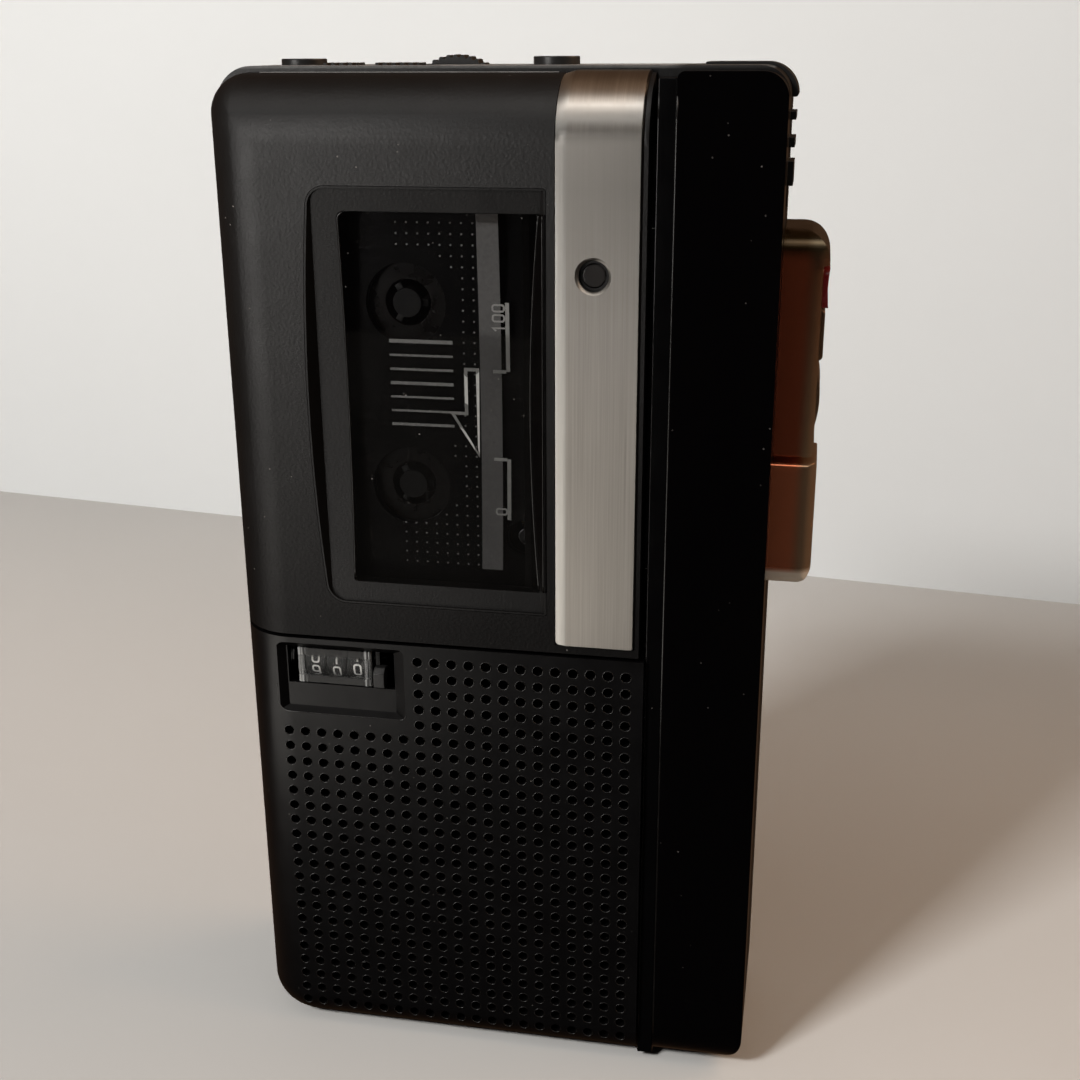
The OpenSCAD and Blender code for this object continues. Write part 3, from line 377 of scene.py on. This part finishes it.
def counter_lens():
    """Moulded clear cover: milky ribs at both ends, painted dark and nearly opaque along the top and the bottom as
    painted shade.
    """
    m = Mat("clear_lens", Specular_IOR_Level=0.2)
    x, z = m.axis("X"), m.axis("Z")
    e = m.math("MAXIMUM", m.span(x, -24.35 * MM, -24.6 * MM, 0, 1), m.span(x, -17.45 * MM, -17.25 * MM, 0, 1))
    rib = m.span(m.noise(m.coord(5200, 60, 60), 1.0, 1, 0.5), 0.42, 0.58, 0.0, 1.0)
    e = m.math("MULTIPLY", e, rib)
    # painted shade: dark, nearly opaque bands along the top, above Z 51 mm, and the bottom, below Z 49 mm
    painted_shade_band = m.math("MAXIMUM", m.span(z, 50.95 * MM, 51.35 * MM, 0, 1), m.span(z, 48.95 * MM, 48.55 * MM, 0, 1))
    tone = m.ramp(m.noise(m.coord(900, 60, 60), 1.0, 2, 0.5), [(0.3, (0.016, 0.016, 0.016)), (0.7, (0.034, 0.034, 0.033))])
    c = m.mix(painted_shade_band, tone, (0.0045, 0.0045, 0.0045))
    c = m.mix(e, c, (0.22, 0.22, 0.215))
    alpha = m.math("MAXIMUM", m.math("MULTIPLY", painted_shade_band, 0.9), m.math("ADD", m.math("MULTIPLY", e, 0.4), m.span(rib, 0, 1, 0.10, 0.18)))
    return m.put(Base_Color=c, Alpha=alpha, Roughness=m.span(rib, 0, 1, 0.05, 0.14), Normal=m.bump(rib, 0.15, 0.00003)).m


LOOK["smoked_pane"] = smoked_pane()
LOOK["clear_lens"] = counter_lens()
LOOK["lens_grey"] = pane("lens_grey", (0.010, 0.009, 0.009), (0.018, 0.016, 0.015), 0.7, 0.2, 0.36)
LOOK["lamp_red"] = pane("lamp_red", (0.25, 0.012, 0.01), (0.36, 0.02, 0.016), 0.9, 0.1, 0.2)


def felt():
    m = Mat("felt", Specular_IOR_Level=0.15, Sheen_Weight=0.3, Sheen_Roughness=0.6)
    v = m.coord()
    hair = m.noise(m.coord(2600, 2600, 900), 1.0, 4, 0.7, 1.2)
    c = m.ramp(hair, [(0.3, (0.0022, 0.0021, 0.002)), (0.7, (0.007, 0.0066, 0.0064))])
    return m.put(Base_Color=c, Roughness=m.span(hair, 0.3, 0.7, 0.85, 1.0), Normal=m.bump(hair, 0.8, 0.0001)).m


LOOK["felt"] = felt()


def tape_brown():
    m = Mat("tape_brown", Specular_IOR_Level=0.5)
    wound = m.noise(m.coord(600, 9000, 600), 1.0, 3, 0.6)
    c = m.ramp(wound, [(0.3, (0.0040, 0.0029, 0.0024)), (0.7, (0.0072, 0.0052, 0.0042))])
    return m.put(Base_Color=c, Roughness=m.span(wound, 0.3, 0.7, 0.22, 0.4), Normal=m.bump(wound, 0.3, 0.00001)).m


LOOK["tape_brown"] = tape_brown()


def board():
    m = Mat("board", Specular_IOR_Level=0.45)
    v = m.coord()
    weave = m.noise(m.coord(1800, 1800, 1800), 1.0, 2, 0.5)
    c = m.ramp(weave, [(0.3, (0.15, 0.095, 0.035)), (0.7, (0.21, 0.14, 0.055))])
    track = m.cells(m.coord(420, 420, 420), 1.0, "Distance", 0.6)
    c = m.mix(m.ramp(track, [(0.30, 0.0), (0.34, 1.0)]), c, (0.06, 0.055, 0.02))
    raised = m.span(m.axis("Y"), 9.02 * MM, 9.08 * MM, 0, 1)
    c = m.mix(raised, c, (0.012, 0.012, 0.013))
    can = m.span(m.axis("Y"), 7.98 * MM, 7.9 * MM, 0, 1)
    c = m.mix(can, c, (0.02, 0.035, 0.09))
    return m.put(Base_Color=c, Roughness=m.span(weave, 0.3, 0.7, 0.35, 0.55), Normal=m.bump(weave, 0.3, 0.00003)).m


LOOK["board"] = board()


def battery_sleeve():
    m = Mat("battery_sleeve", Specular_IOR_Level=0.5, Coat_Weight=0.4, Coat_Roughness=0.1)
    v = m.coord()
    n = m.noise(v, 300, 3, 0.6)
    dark = m.ramp(n, [(0.3, (0.012, 0.012, 0.014)), (0.7, (0.020, 0.020, 0.023))])
    band = m.span(m.axis("Z"), 40.9 * MM, 41.0 * MM, 0, 1)
    c = m.mix(band, dark, (0.42, 0.25, 0.10))
    ends = m.math("MAXIMUM", m.span(m.axis("Z"), 52.3 * MM, 52.4 * MM, 0, 1), m.span(m.axis("Z"), 5.2 * MM, 5.1 * MM, 0, 1))
    c = m.mix(ends, c, (0.6, 0.6, 0.58))
    met = m.math("MAXIMUM", ends, band)
    return m.put(Base_Color=c, Metallic=met, Roughness=m.span(n, 0.3, 0.7, 0.18, 0.3), Normal=m.bump(n, 0.1, 0.00002)).m


LOOK["battery_sleeve"] = battery_sleeve()


def ink(name, c0, c1):
    """Screen-printed ink with slightly uneven cover."""
    m = Mat("ink_" + name, Specular_IOR_Level=0.35)
    v = m.coord()
    n = m.noise(v, 2400, 3, 0.6)
    c = m.ramp(n, [(0.3, c0), (0.7, c1)])
    return m.put(Base_Color=c, Roughness=m.span(n, 0.3, 0.7, 0.45, 0.62), Normal=m.bump(n, 0.2, 0.000005)).m


INK_WHITE = ink("white", (0.62, 0.61, 0.58), (0.74, 0.73, 0.70))
INK_GREY = ink("grey", (0.23, 0.225, 0.22), (0.29, 0.28, 0.275))
INK_DIM = ink("dim", (0.62, 0.61, 0.59), (0.74, 0.73, 0.71))
# light colour for the bead on the door's upper edge, a painted highlight, not print
PAINTED_EDGE_HIGHLIGHT = ink("edge", (0.15, 0.145, 0.14), (0.24, 0.23, 0.22))
INK_DOT = ink("dot", (0.40, 0.39, 0.38), (0.52, 0.51, 0.50))

# ---------------------------------------------------------------- looks on the carried-over nodes
ROUND = {
    "door_shell": 0.12, "window_bezel": 0.14, "trim_strip": 0.10, "side_panel": 0.16, "rear_case": 0.20,
    "battery_cover": 0.22, "key_guard": 0.36, "rec_key": 0.25, "play_key": 0.25, "wind_rocker": 0.25, "stop_key": 0.36,
    "pause_slider": 0.12, "volume_wheel": 0.06, "speed_switch": 0.10, "voice_switch": 0.10, "mic_cap": 0.10,
    "mic_jack": 0.16, "ear_jack": 0.16, "reset_button": 0.16, "speaker_panel": 0.15, "cassette_shell": 0.18,
    "door_window": 0.05, "counter_lens": 0.08, "led_lens": 0.2, "batteries": 0.35, "motor": 0.35,
    "front_frame": 0.15, "case_screws": 0.08, "grille_felt": 0.0, "tape_run": 0.0, "drive_belt": 0.12,
    "hinge_pins": 0.08, "capstan": 0.1, "circuit_board": 0.1,
}
for name, obj in nodes.items():
    slot = obj.data.materials[0].name.split(".")[0]
    for i in range(len(obj.data.materials)):
        obj.data.materials[i] = LOOK[slot]
    obj.data.polygons.foreach_set("use_smooth", [True] * len(obj.data.polygons))
    w = ROUND.get(name, 0.09)
    weld = obj.modifiers.new("weld", "WELD")
    weld.merge_threshold = 1e-6
    if name == "speaker_panel":
        cut = obj.modifiers.new("cut", "EDGE_SPLIT")
        cut.split_angle = math.radians(30)
    elif w > 0:
        flat = obj.modifiers.new("flat", "DECIMATE")
        flat.decimate_type = "DISSOLVE"
        flat.angle_limit = math.radians(0.6)
        bev = obj.modifiers.new("edge", "BEVEL")
        bev.width = w * MM
        bev.segments = 3 if w > 0.2 else 2
        bev.limit_method = "ANGLE"
        bev.angle_limit = math.radians(32)
        bev.miter_outer = "MITER_ARC"
        bev.use_clamp_overlap = True
        bev.harden_normals = False
    wn = obj.modifiers.new("normals", "WEIGHTED_NORMAL")
    wn.mode = "FACE_AREA"
    wn.weight = 92


# ---------------------------------------------------------------- printed marks and numbers as thin solids
def arc(cx, cy, rx, ry, a0, a1, n=10):
    return [(cx + rx * math.cos(math.radians(a0 + (a1 - a0) * i / n)), cy + ry * math.sin(math.radians(a0 + (a1 - a0) * i / n))) for i in range(n + 1)]


# stroke paths of the ten figures in a box 1 wide and 1 high
FIG = {
    "0": [(arc(0.66, 0.80, 0.34, 0.20, 0, 90, 5) + arc(0.34, 0.80, 0.34, 0.20, 90, 180, 5) + arc(0.34, 0.20, 0.34, 0.20, 180, 270, 5) + arc(0.66, 0.20, 0.34, 0.20, 270, 360, 5), True)],
    "1": [([(0.18, 0.78), (0.52, 1.0), (0.52, 0.0)], False)],
    "2": [(arc(0.5, 0.70, 0.48, 0.30, 170, -30, 10) + [(0.0, 0.0), (1.0, 0.0)], False)],
    "3": [(arc(0.46, 0.74, 0.46, 0.26, 150, -80, 9) + arc(0.46, 0.26, 0.52, 0.26, 80, -150, 9), False)],
    "4": [([(0.72, 0.0), (0.72, 1.0), (0.0, 0.30), (1.0, 0.30)], False)],
    "5": [([(0.92, 1.0), (0.14, 1.0), (0.08, 0.55)] + arc(0.46, 0.32, 0.52, 0.32, 115, -150, 12), False)],
    "6": [([(0.80, 1.0)] + arc(0.5, 0.31, 0.5, 0.31, 150, 510, 18), False)],
    "7": [([(0.0, 1.0), (1.0, 1.0), (0.36, 0.0)], False)],
    "8": [(arc(0.5, 0.75, 0.42, 0.25, 0, 360, 16)[:-1], True), (arc(0.5, 0.26, 0.5, 0.26, 0, 360, 16)[:-1], True)],
    "9": [(arc(0.66, 0.80, 0.34, 0.20, 0, 90, 5) + arc(0.34, 0.80, 0.34, 0.20, 90, 180, 5) + arc(0.34, 0.60, 0.34, 0.20, 180, 270, 5) + [(0.9, 0.40)], False), ([(1.0, 0.80), (1.0, 0.20)] + arc(0.66, 0.20, 0.34, 0.20, 360, 270, 5) + [(0.2, 0.0)], False)],
}


def ribbon(bm, path, width, closed, put, h0, h1):
    """A closed flat stroke along path; put(u, v, h) places its points."""
    n = len(path)
    left, rgt = [], []
    for i, (x, y) in enumerate(path):
        a = path[(i - 1) % n] if (closed or i > 0) else None
        b = path[(i + 1) % n] if (closed or i < n - 1) else None
        d = Vector((0, 0))
        if a is not None and (Vector((x, y)) - Vector(a)).length > 1e-9:
            d += (Vector((x, y)) - Vector(a)).normalized()
        if b is not None and (Vector(b) - Vector((x, y))).length > 1e-9:
            d += (Vector(b) - Vector((x, y))).normalized()
        if d.length < 1e-6:
            d = Vector((1, 0))
        d.normalize()
        nrm = Vector((-d.y, d.x))
        k = 1.0
        if a is not None and b is not None:
            e = (Vector(b) - Vector((x, y))).normalized()
            k = min(1.8, 1.0 / max(0.35, abs(e.dot(d))))
        o = nrm * (width / 2 * k)
        ext = Vector((0, 0))
        if not closed and i == 0:
            ext = -d * width / 2
        if not closed and i == n - 1:
            ext = d * width / 2
        left.append((x + o.x + ext.x, y + o.y + ext.y))
        rgt.append((x - o.x + ext.x, y - o.y + ext.y))
    lt = [bm.verts.new(put(u, v, h1)) for u, v in left]
    rt = [bm.verts.new(put(u, v, h1)) for u, v in rgt]
    lb = [bm.verts.new(put(u, v, h0)) for u, v in left]
    rb = [bm.verts.new(put(u, v, h0)) for u, v in rgt]
    for i in range(n if closed else n - 1):
        j = (i + 1) % n
        bm.faces.new((lt[i], rt[i], rt[j], lt[j]))
        bm.faces.new((lb[i], lb[j], rb[j], rb[i]))
        bm.faces.new((lt[i], lt[j], lb[j], lb[i]))
        bm.faces.new((rt[i], rb[i], rb[j], rt[j]))
    if not closed:
        bm.faces.new((lt[0], lb[0], rb[0], rt[0]))
        bm.faces.new((lt[-1], rt[-1], rb[-1], lb[-1]))


def slab(bm, poly, put, h0, h1):
    """A thin plate with the given outline."""
    t = [bm.verts.new(put(u, v, h1)) for u, v in poly]
    b = [bm.verts.new(put(u, v, h0)) for u, v in poly]
    bm.faces.new(t)
    bm.faces.new(list(reversed(b)))
    n = len(poly)
    for i in range(n):
        j = (i + 1) % n
        bm.faces.new((t[i], b[i], b[j], t[j]))


def grid_slab(bm, u0, u1, v0, v1, nu, nv, put, h0, h1):
    """A thin rectangular plate divided along both sides, so that it can follow a curve."""
    top, bot = {}, {}
    for i in range(nu + 1):
        for j in range(nv + 1):
            u, v = u0 + (u1 - u0) * i / nu, v0 + (v1 - v0) * j / nv
            top[i, j] = bm.verts.new(put(u, v, h1))
            bot[i, j] = bm.verts.new(put(u, v, h0))
    for i in range(nu):
        for j in range(nv):
            bm.faces.new((top[i, j], top[i + 1, j], top[i + 1, j + 1], top[i, j + 1]))
            bm.faces.new((bot[i, j], bot[i, j + 1], bot[i + 1, j + 1], bot[i + 1, j]))
    for i in range(nu):
        bm.faces.new((top[i, 0], bot[i, 0], bot[i + 1, 0], top[i + 1, 0]))
        bm.faces.new((top[i, nv], top[i + 1, nv], bot[i + 1, nv], bot[i, nv]))
    for j in range(nv):
        bm.faces.new((top[0, j], top[0, j + 1], bot[0, j + 1], bot[0, j]))
        bm.faces.new((top[nu, j], bot[nu, j], bot[nu, j + 1], top[nu, j + 1]))


def piece(name, bm, mat, body):
    bmesh.ops.recalc_face_normals(bm, faces=bm.faces)
    me = bpy.data.meshes.new(name)
    bm.to_mesh(me)
    bm.free()
    me.materials.append(mat)
    o = bpy.data.objects.new(name, me)
    scene.collection.objects.link(o)
    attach(o, body)
    return o


def dense(pts, closed, step):
    """The same path with points no further apart than step."""
    out = []
    n = len(pts)
    for i in range(n if closed else n - 1):
        a, b = Vector(pts[i]), Vector(pts[(i + 1) % n])
        k = max(1, math.ceil((b - a).length / step))
        out += [tuple(a + (b - a) * (q / k)) for q in range(k)]
    return out if closed else out + [tuple(pts[-1])]


# counter figures, wrapped on the drums
DY, DZ, DR = -7.2, 50.0, 2.95


def drum_marks(name, x0, first, body):
    bm = bmesh.new()
    w, h = 0.80, 1.36

    for k in range(10):
        mid = math.radians(first + 36 * k)

        def put(u, v, rise, mid=mid):
            a = mid + v / DR
            r = DR + rise
            return ((x0 + u) * MM, (DY - r * math.cos(a)) * MM, (DZ + r * math.sin(a)) * MM)

        for path, closed in FIG[str(k)]:
            pts = dense([((x - 0.5) * w, (y - 0.5) * h) for x, y in path], closed, 0.12)
            ribbon(bm, pts, 0.20, closed, put, -0.03, 0.018)
    return piece(name, bm, INK_WHITE, body)


drum_marks("figures_hundreds", -23.58, 15.5, "drum_hundreds")
drum_marks("figures_tens", -21.03, -20.5, "drum_tens")
drum_marks("figures_units", -18.48, -11.0, "drum_units")

# marks on the cassette face
CF = -8.6


def on_cassette(u, v, rise):
    return (u * MM, (CF - rise) * MM, v * MM)


bm = bmesh.new()
for k in range(7):
    z = 88.35 - k * 1.545
    h = (0.20, 0.12, 0.13, 0.17, 0.11, 0.11, 0.15)[k]
    slab(bm, [(-13.5, z - h), (-6.42, z - h), (-6.42, z + h), (-13.5, z + h)], on_cassette, -0.02, 0.03)
piece("cassette_lines", bm, INK_DIM, "case")
bm = bmesh.new()
for i in range(8):
    for j in range(34):
        x, z = -3.98 - 1.195 * i, 101.05 - 1.152 * j
        if math.hypot(x + 11.2, z - 93.4) < 5.2 or math.hypot(x + 11.2, z - 73.0) < 5.2:
            continue
        if 69.5 < z < 97.2 and i > (1 if 77 < z < 94 else 2):
            continue
        slab(bm, [(x + 0.11 * math.cos(math.radians(45 * q)), z + 0.11 * math.sin(math.radians(45 * q))) for q in range(8)], on_cassette, -0.02, 0.03)
piece("cassette_dots", bm, INK_DOT, "case")

# marks on the inner face of the window
YF, DISH_R, DISH_Z, DISH_D = -11.75, 235.0, 81.3, 1.4


def on_pane(u, v, rise):
    r = DISH_R + 1.2 + rise
    return (u * MM, (YF + DISH_D - DISH_R + math.sqrt(r * r - (v - DISH_Z) ** 2)) * MM, v * MM)


bm = bmesh.new()
grid_slab(bm, -3.28, -0.92, 63.0, 102.2, 2, 24, on_pane, 0.034, 0.055)
piece("window_band", bm, INK_GREY, "door")
bm = bmesh.new()


def tall(z0, z1, x, w):
    grid_slab(bm, x - w / 2, x + w / 2, z0, z1, 1, 8, on_pane, 0.005, 0.03)


# two brackets and an outlined arrow between them
tall(85.5, 92.95, -0.19, 0.42)
tall(68.85, 75.75, -0.19, 0.42)
grid_slab(bm, -1.86, -0.41, 85.3, 85.66, 2, 1, on_pane, 0.005, 0.03)
grid_slab(bm, -1.86, -0.41, 75.52, 75.88, 2, 1, on_pane, 0.005, 0.03)
ribbon(bm, [(-4.88, 85.6), (-3.57, 85.6), (-3.57, 76.1), (-6.49, 80.7), (-4.88, 80.7)], 0.36, True, on_pane, 0.005, 0.03)


def turned(txt, z, x, size):
    """Figures reading upwards."""
    step = size * 0.86
    for i, ch in enumerate(txt):
        for path, closed in FIG[ch]:
            pts = [(x - (yy - 0.5) * size, z + i * step + (xx - 0.5) * size * 0.55) for xx, yy in path]
            ribbon(bm, pts, 0.2, closed, on_pane, 0.005, 0.03)


turned("0", 69.75, -1.05, 1.15)
turned("100", 90.2, -1.15, 1.25)
piece("window_scale", bm, INK_WHITE, "door")


# rounded rims of the window: along the edge of the pane and along the folds beside the trim strip
def tube(bm, path, r, n=8):
    """A closed round bead along a path that runs mainly upwards."""
    rings = []
    for i, p in enumerate(path):
        t = (Vector(path[min(i + 1, len(path) - 1)]) - Vector(path[max(i - 1, 0)])).normalized()
        u = t.cross(Vector((0, -1, 0))).normalized()
        w = u.cross(t)
        rings.append([bm.verts.new((Vector(p) + u * (r * math.cos(2 * math.pi * k / n)) + w * (r * math.sin(2 * math.pi * k / n))) * MM) for k in range(n)])
    for a, b in zip(rings, rings[1:]):
        for k in range(n):
            bm.faces.new((a[k], a[(k + 1) % n], b[(k + 1) % n], b[k]))
    bm.faces.new(list(reversed(rings[0])))
    bm.faces.new(rings[-1])


def dish_y(z):
    return YF + DISH_D - DISH_R + math.sqrt(DISH_R ** 2 - (z - DISH_Z) ** 2)


def rim_black():
    m = Mat("rim_black", Specular_IOR_Level=0.6)
    n = m.noise(m.coord(), 700, 3, 0.6)
    c = m.ramp(n, [(0.3, (0.003, 0.0027, 0.0026)), (0.7, (0.006, 0.0055, 0.0052))])
    return m.put(Base_Color=c, Roughness=m.span(n, 0.3, 0.7, 0.10, 0.24), Normal=m.bump(n, 0.1, 0.00001)).m


RIM = rim_black()
bm = bmesh.new()
edge = [(-17.82, dish_y(z) + 0.04, z) for z in [61.5 + (101.55 - 61.5) * k / 40 for k in range(41)]]
edge += [(-17.02 - 0.8 * math.cos(math.radians(a)), dish_y(101.55 + 0.7 * math.sin(math.radians(a))) + 0.04, 101.55 + 0.7 * math.sin(math.radians(a))) for a in (15, 30, 45, 60, 75)]
tube(bm, edge, 0.12)
for o in piece("pane_rim", bm, RIM, "door"),:
    o.data.polygons.foreach_set("use_smooth", [True] * len(o.data.polygons))
bm = bmesh.new()
fold = [z for z in [61.3 + (102.2 - 61.3) * k / 48 for k in range(49)]]
tube(bm, [(4.12 - 1.2 * (dish_y(z) - YF), dish_y(z) + 0.06, z) for z in fold], 0.13)
tube(bm, [(4.02, YF + 0.09, z) for z in fold], 0.07)
for o in piece("window_folds", bm, RIM, "door"),:
    o.data.polygons.foreach_set("use_smooth", [True] * len(o.data.polygons))


# rolled rims of the grille holes
bm = bmesh.new()
for col in range(21):
    for row in range(25):
        if col < 8 and row < 5:
            continue
        x, z = -26.80 + 2.01 * col, 51.75 - 2.01 * row
        sink = 0.035
        if x < -26.1:
            sink += 7 - math.sqrt(49 - (x + 26.1) ** 2)
        if z < 4.5:
            sink += 4.5 - math.sqrt(4.5 ** 2 - (4.5 - z) ** 2)
        ring = []
        for i in range(14):
            a = 2 * math.pi * i / 14
            ring.append([bm.verts.new(((x + (0.625 + 0.07 * math.cos(t)) * math.cos(a)) * MM, (YF + sink - 0.07 * math.sin(t)) * MM, (z + (0.625 + 0.07 * math.cos(t)) * math.sin(a)) * MM)) for t in [2 * math.pi * q / 6 for q in range(6)]])
        for i in range(14):
            for q in range(6):
                bm.faces.new((ring[i][q], ring[i][(q + 1) % 6], ring[(i + 1) % 14][(q + 1) % 6], ring[(i + 1) % 14][q]))
for o in piece("grille_rims", bm, RIM, "case"),:
    o.data.polygons.foreach_set("use_smooth", [True] * len(o.data.polygons))

# rolled lip along the lower edge of the counter recess
bm = bmesh.new()
lip = [(-28.05, 47.6 - 0.2 * k) for k in range(11)]
lip += [(-26.65 - 1.4 * math.cos(math.radians(a)), 45.6 - 1.4 * math.sin(math.radians(a))) for a in (15, 30, 45, 60, 75, 90)]
lip += [(-26.65 + (26.65 - 13.05) * k / 24, 44.2) for k in range(1, 25)]
lip += [(-13.05 + 0.7 * math.sin(math.radians(a)), 44.9 - 0.7 * math.cos(math.radians(a))) for a in (15, 30, 45, 60, 75, 90)]
tube(bm, [(x, YF + 0.05 + (7 - math.sqrt(49 - (x + 26.1) ** 2) if x < -26.1 else 0.0), z) for x, z in lip], 0.07)
for o in piece("recess_lip", bm, RIM, "case"),:
    o.data.polygons.foreach_set("use_smooth", [True] * len(o.data.polygons))

# painted highlight: a light bead along the upper edge of the door
bm = bmesh.new()
tube(bm, [(-27.8 + (4.6 + 27.8) * k / 30, -4.86, 115.97) for k in range(31)], 0.07)
piece("door_edge_highlight", bm, PAINTED_EDGE_HIGHLIGHT, "door")
bm = bmesh.new()
run = [4.6 + (113.9 - 4.6) * k / 40 for k in range(41)]
tube(bm, [(17.45, YF + 0.10, z) for z in run], 0.13)
tube(bm, [(15.56, YF + 0.88, z) for z in run], 0.10)
for o in piece("groove_beads", bm, RIM, "case"),:
    o.data.polygons.foreach_set("use_smooth", [True] * len(o.data.polygons))


# ---------------------------------------------------------------- stage, light and sky
def stage_mat(name, c0, c1, one_sided=False):
    m = Mat(name, Specular_IOR_Level=0.2)
    v = m.coord()
    n = m.noise(v, 6, 4, 0.6)
    m.put(Base_Color=m.ramp(n, [(0.3, c0), (0.7, c1)]), Roughness=m.span(n, 0.3, 0.7, 0.6, 0.75))
    if one_sided:
        g = m.t.nodes.new("ShaderNodeNewGeometry")
        t = m.t.nodes.new("ShaderNodeBsdfTransparent")
        x = m.t.nodes.new("ShaderNodeMixShader")
        m.t.links.new(g.outputs["Backfacing"], x.inputs["Fac"])
        m.t.links.new(m.b.outputs["BSDF"], x.inputs[1])
        m.t.links.new(t.outputs["BSDF"], x.inputs[2])
        m.t.links.new(x.outputs["Shader"], m.out.inputs["Surface"])
    return m.m


def quad(name, pts, mat):
    me = bpy.data.meshes.new(name)
    me.from_pydata(pts, [], [(0, 1, 2, 3)])
    me.materials.append(mat)
    o = bpy.data.objects.new(name, me)
    scene.collection.objects.link(o)
    return o


def sheet(name, pts, mat):
    me = bpy.data.meshes.new(name)
    me.from_pydata(pts, [], [tuple(range(len(pts)))])
    me.materials.append(mat)
    o = bpy.data.objects.new(name, me)
    scene.collection.objects.link(o)
    return o


pale = stage_mat("floor", (0.435, 0.422, 0.405), (0.455, 0.442, 0.425))
N1, N2 = (-0.050, -0.030), (0.0285, -0.0155)
floor = sheet("floor", [(-2, -1.2, 0), (N1[0], -1.2, 0), (N1[0], N1[1], 0), (N2[0], N2[1], 0), (N2[0], -1.2, 0), (2, -1.2, 0), (2, 2, 0), (-2, 2, 0)], pale)
near = sheet("floor_front", [(N1[0], -1.2, 0), (N2[0], -1.2, 0), (N2[0], N2[1], 0), (N1[0], N1[1], 0)], pale)
near.visible_glossy = False
floor.visible_glossy = False
a = Vector((-147.5 * MM, 187.6 * MM, 0))
b = Vector((65.3 * MM, 160.3 * MM, 0))
d = (b - a).normalized()
p, q = a - d * 1.2, b + d * 1.2
wall = quad("backdrop", [tuple(p), tuple(q), (q.x, q.y, 0.15), (p.x, p.y, 0.15)], stage_mat("backdrop", (0.665, 0.667, 0.660), (0.685, 0.687, 0.680), True))

wall.visible_glossy = False

world = bpy.data.worlds.new("studio")
scene.world = world
world.use_nodes = True
wt = world.node_tree
bg = wt.nodes["Background"]
bg.inputs["Strength"].default_value = 1.0
wc = wt.nodes.new("ShaderNodeTexCoord")
ws = wt.nodes.new("ShaderNodeSeparateXYZ")
wt.links.new(wc.outputs["Generated"], ws.inputs["Vector"])
wr = wt.nodes.new("ShaderNodeMapRange")
for key, val in (("From Min", -0.75), ("From Max", 0.35), ("To Min", 0.0), ("To Max", 1.0)):
    wr.inputs[key].default_value = val
wt.links.new(ws.outputs["Y"], wr.inputs["Value"])
we = wt.nodes.new("ShaderNodeValToRGB")
we.color_ramp.elements[0].color = (0.010, 0.009, 0.009, 1)
we.color_ramp.elements[1].color = (0.055, 0.030, 0.017, 1)
wt.links.new(wr.outputs["Result"], we.inputs["Fac"])
wt.links.new(we.outputs["Color"], bg.inputs["Color"])


def area(name, loc, aim, sx, sy, watts, col=(1, 0.97, 0.93)):
    l = bpy.data.lights.new(name, "AREA")
    l.shape = "RECTANGLE"
    l.size, l.size_y = sx, sy
    l.energy = watts
    l.color = col
    o = bpy.data.objects.new(name, l)
    scene.collection.objects.link(o)
    o.location = loc
    o.rotation_euler = (Vector(aim) - Vector(loc)).to_track_quat("-Z", "Y").to_euler()
    return o


key = area("key_light", (-0.345, -0.505, 0.55), (0, 0, 0.06), 0.15, 0.15, 7.4, (1, 1, 0.99))
key.visible_glossy = False
area("top_light", (0.0, -0.26, 0.72), (0, 0.0, 0.06), 1.5, 0.32, 1.5, (1, 0.97, 0.93))
area("right_fill", (0.65, 0.15, 0.55), (0, 0, 0.05), 0.6, 0.6, 4.0, (1, 0.66, 0.42))
low = area("low_card", (-0.212, -0.220, 0.001), (-0.212, -0.220, 1.0), 0.11, 0.42, 0.36, (1, 0.95, 0.88))
low.rotation_euler = (math.pi, 0, math.radians(-43))
soft = area("left_soft", (-0.285, -0.410, 0.12), (0, 0, 0.08), 0.16, 0.22, 0.85, (1, 0.97, 0.94))
soft.visible_diffuse = False
crest = area("top_gloss", (0.0, -0.24, 0.72), (0, 0, 0.1), 0.9, 0.10, 0.42, (1, 0.97, 0.93))
crest.visible_diffuse = False
glint = area("glint", (-0.345, -0.505, 0.55), (0, 0, 0.06), 0.08, 0.08, 0.5, (1, 1, 0.98))
glint.visible_diffuse = False
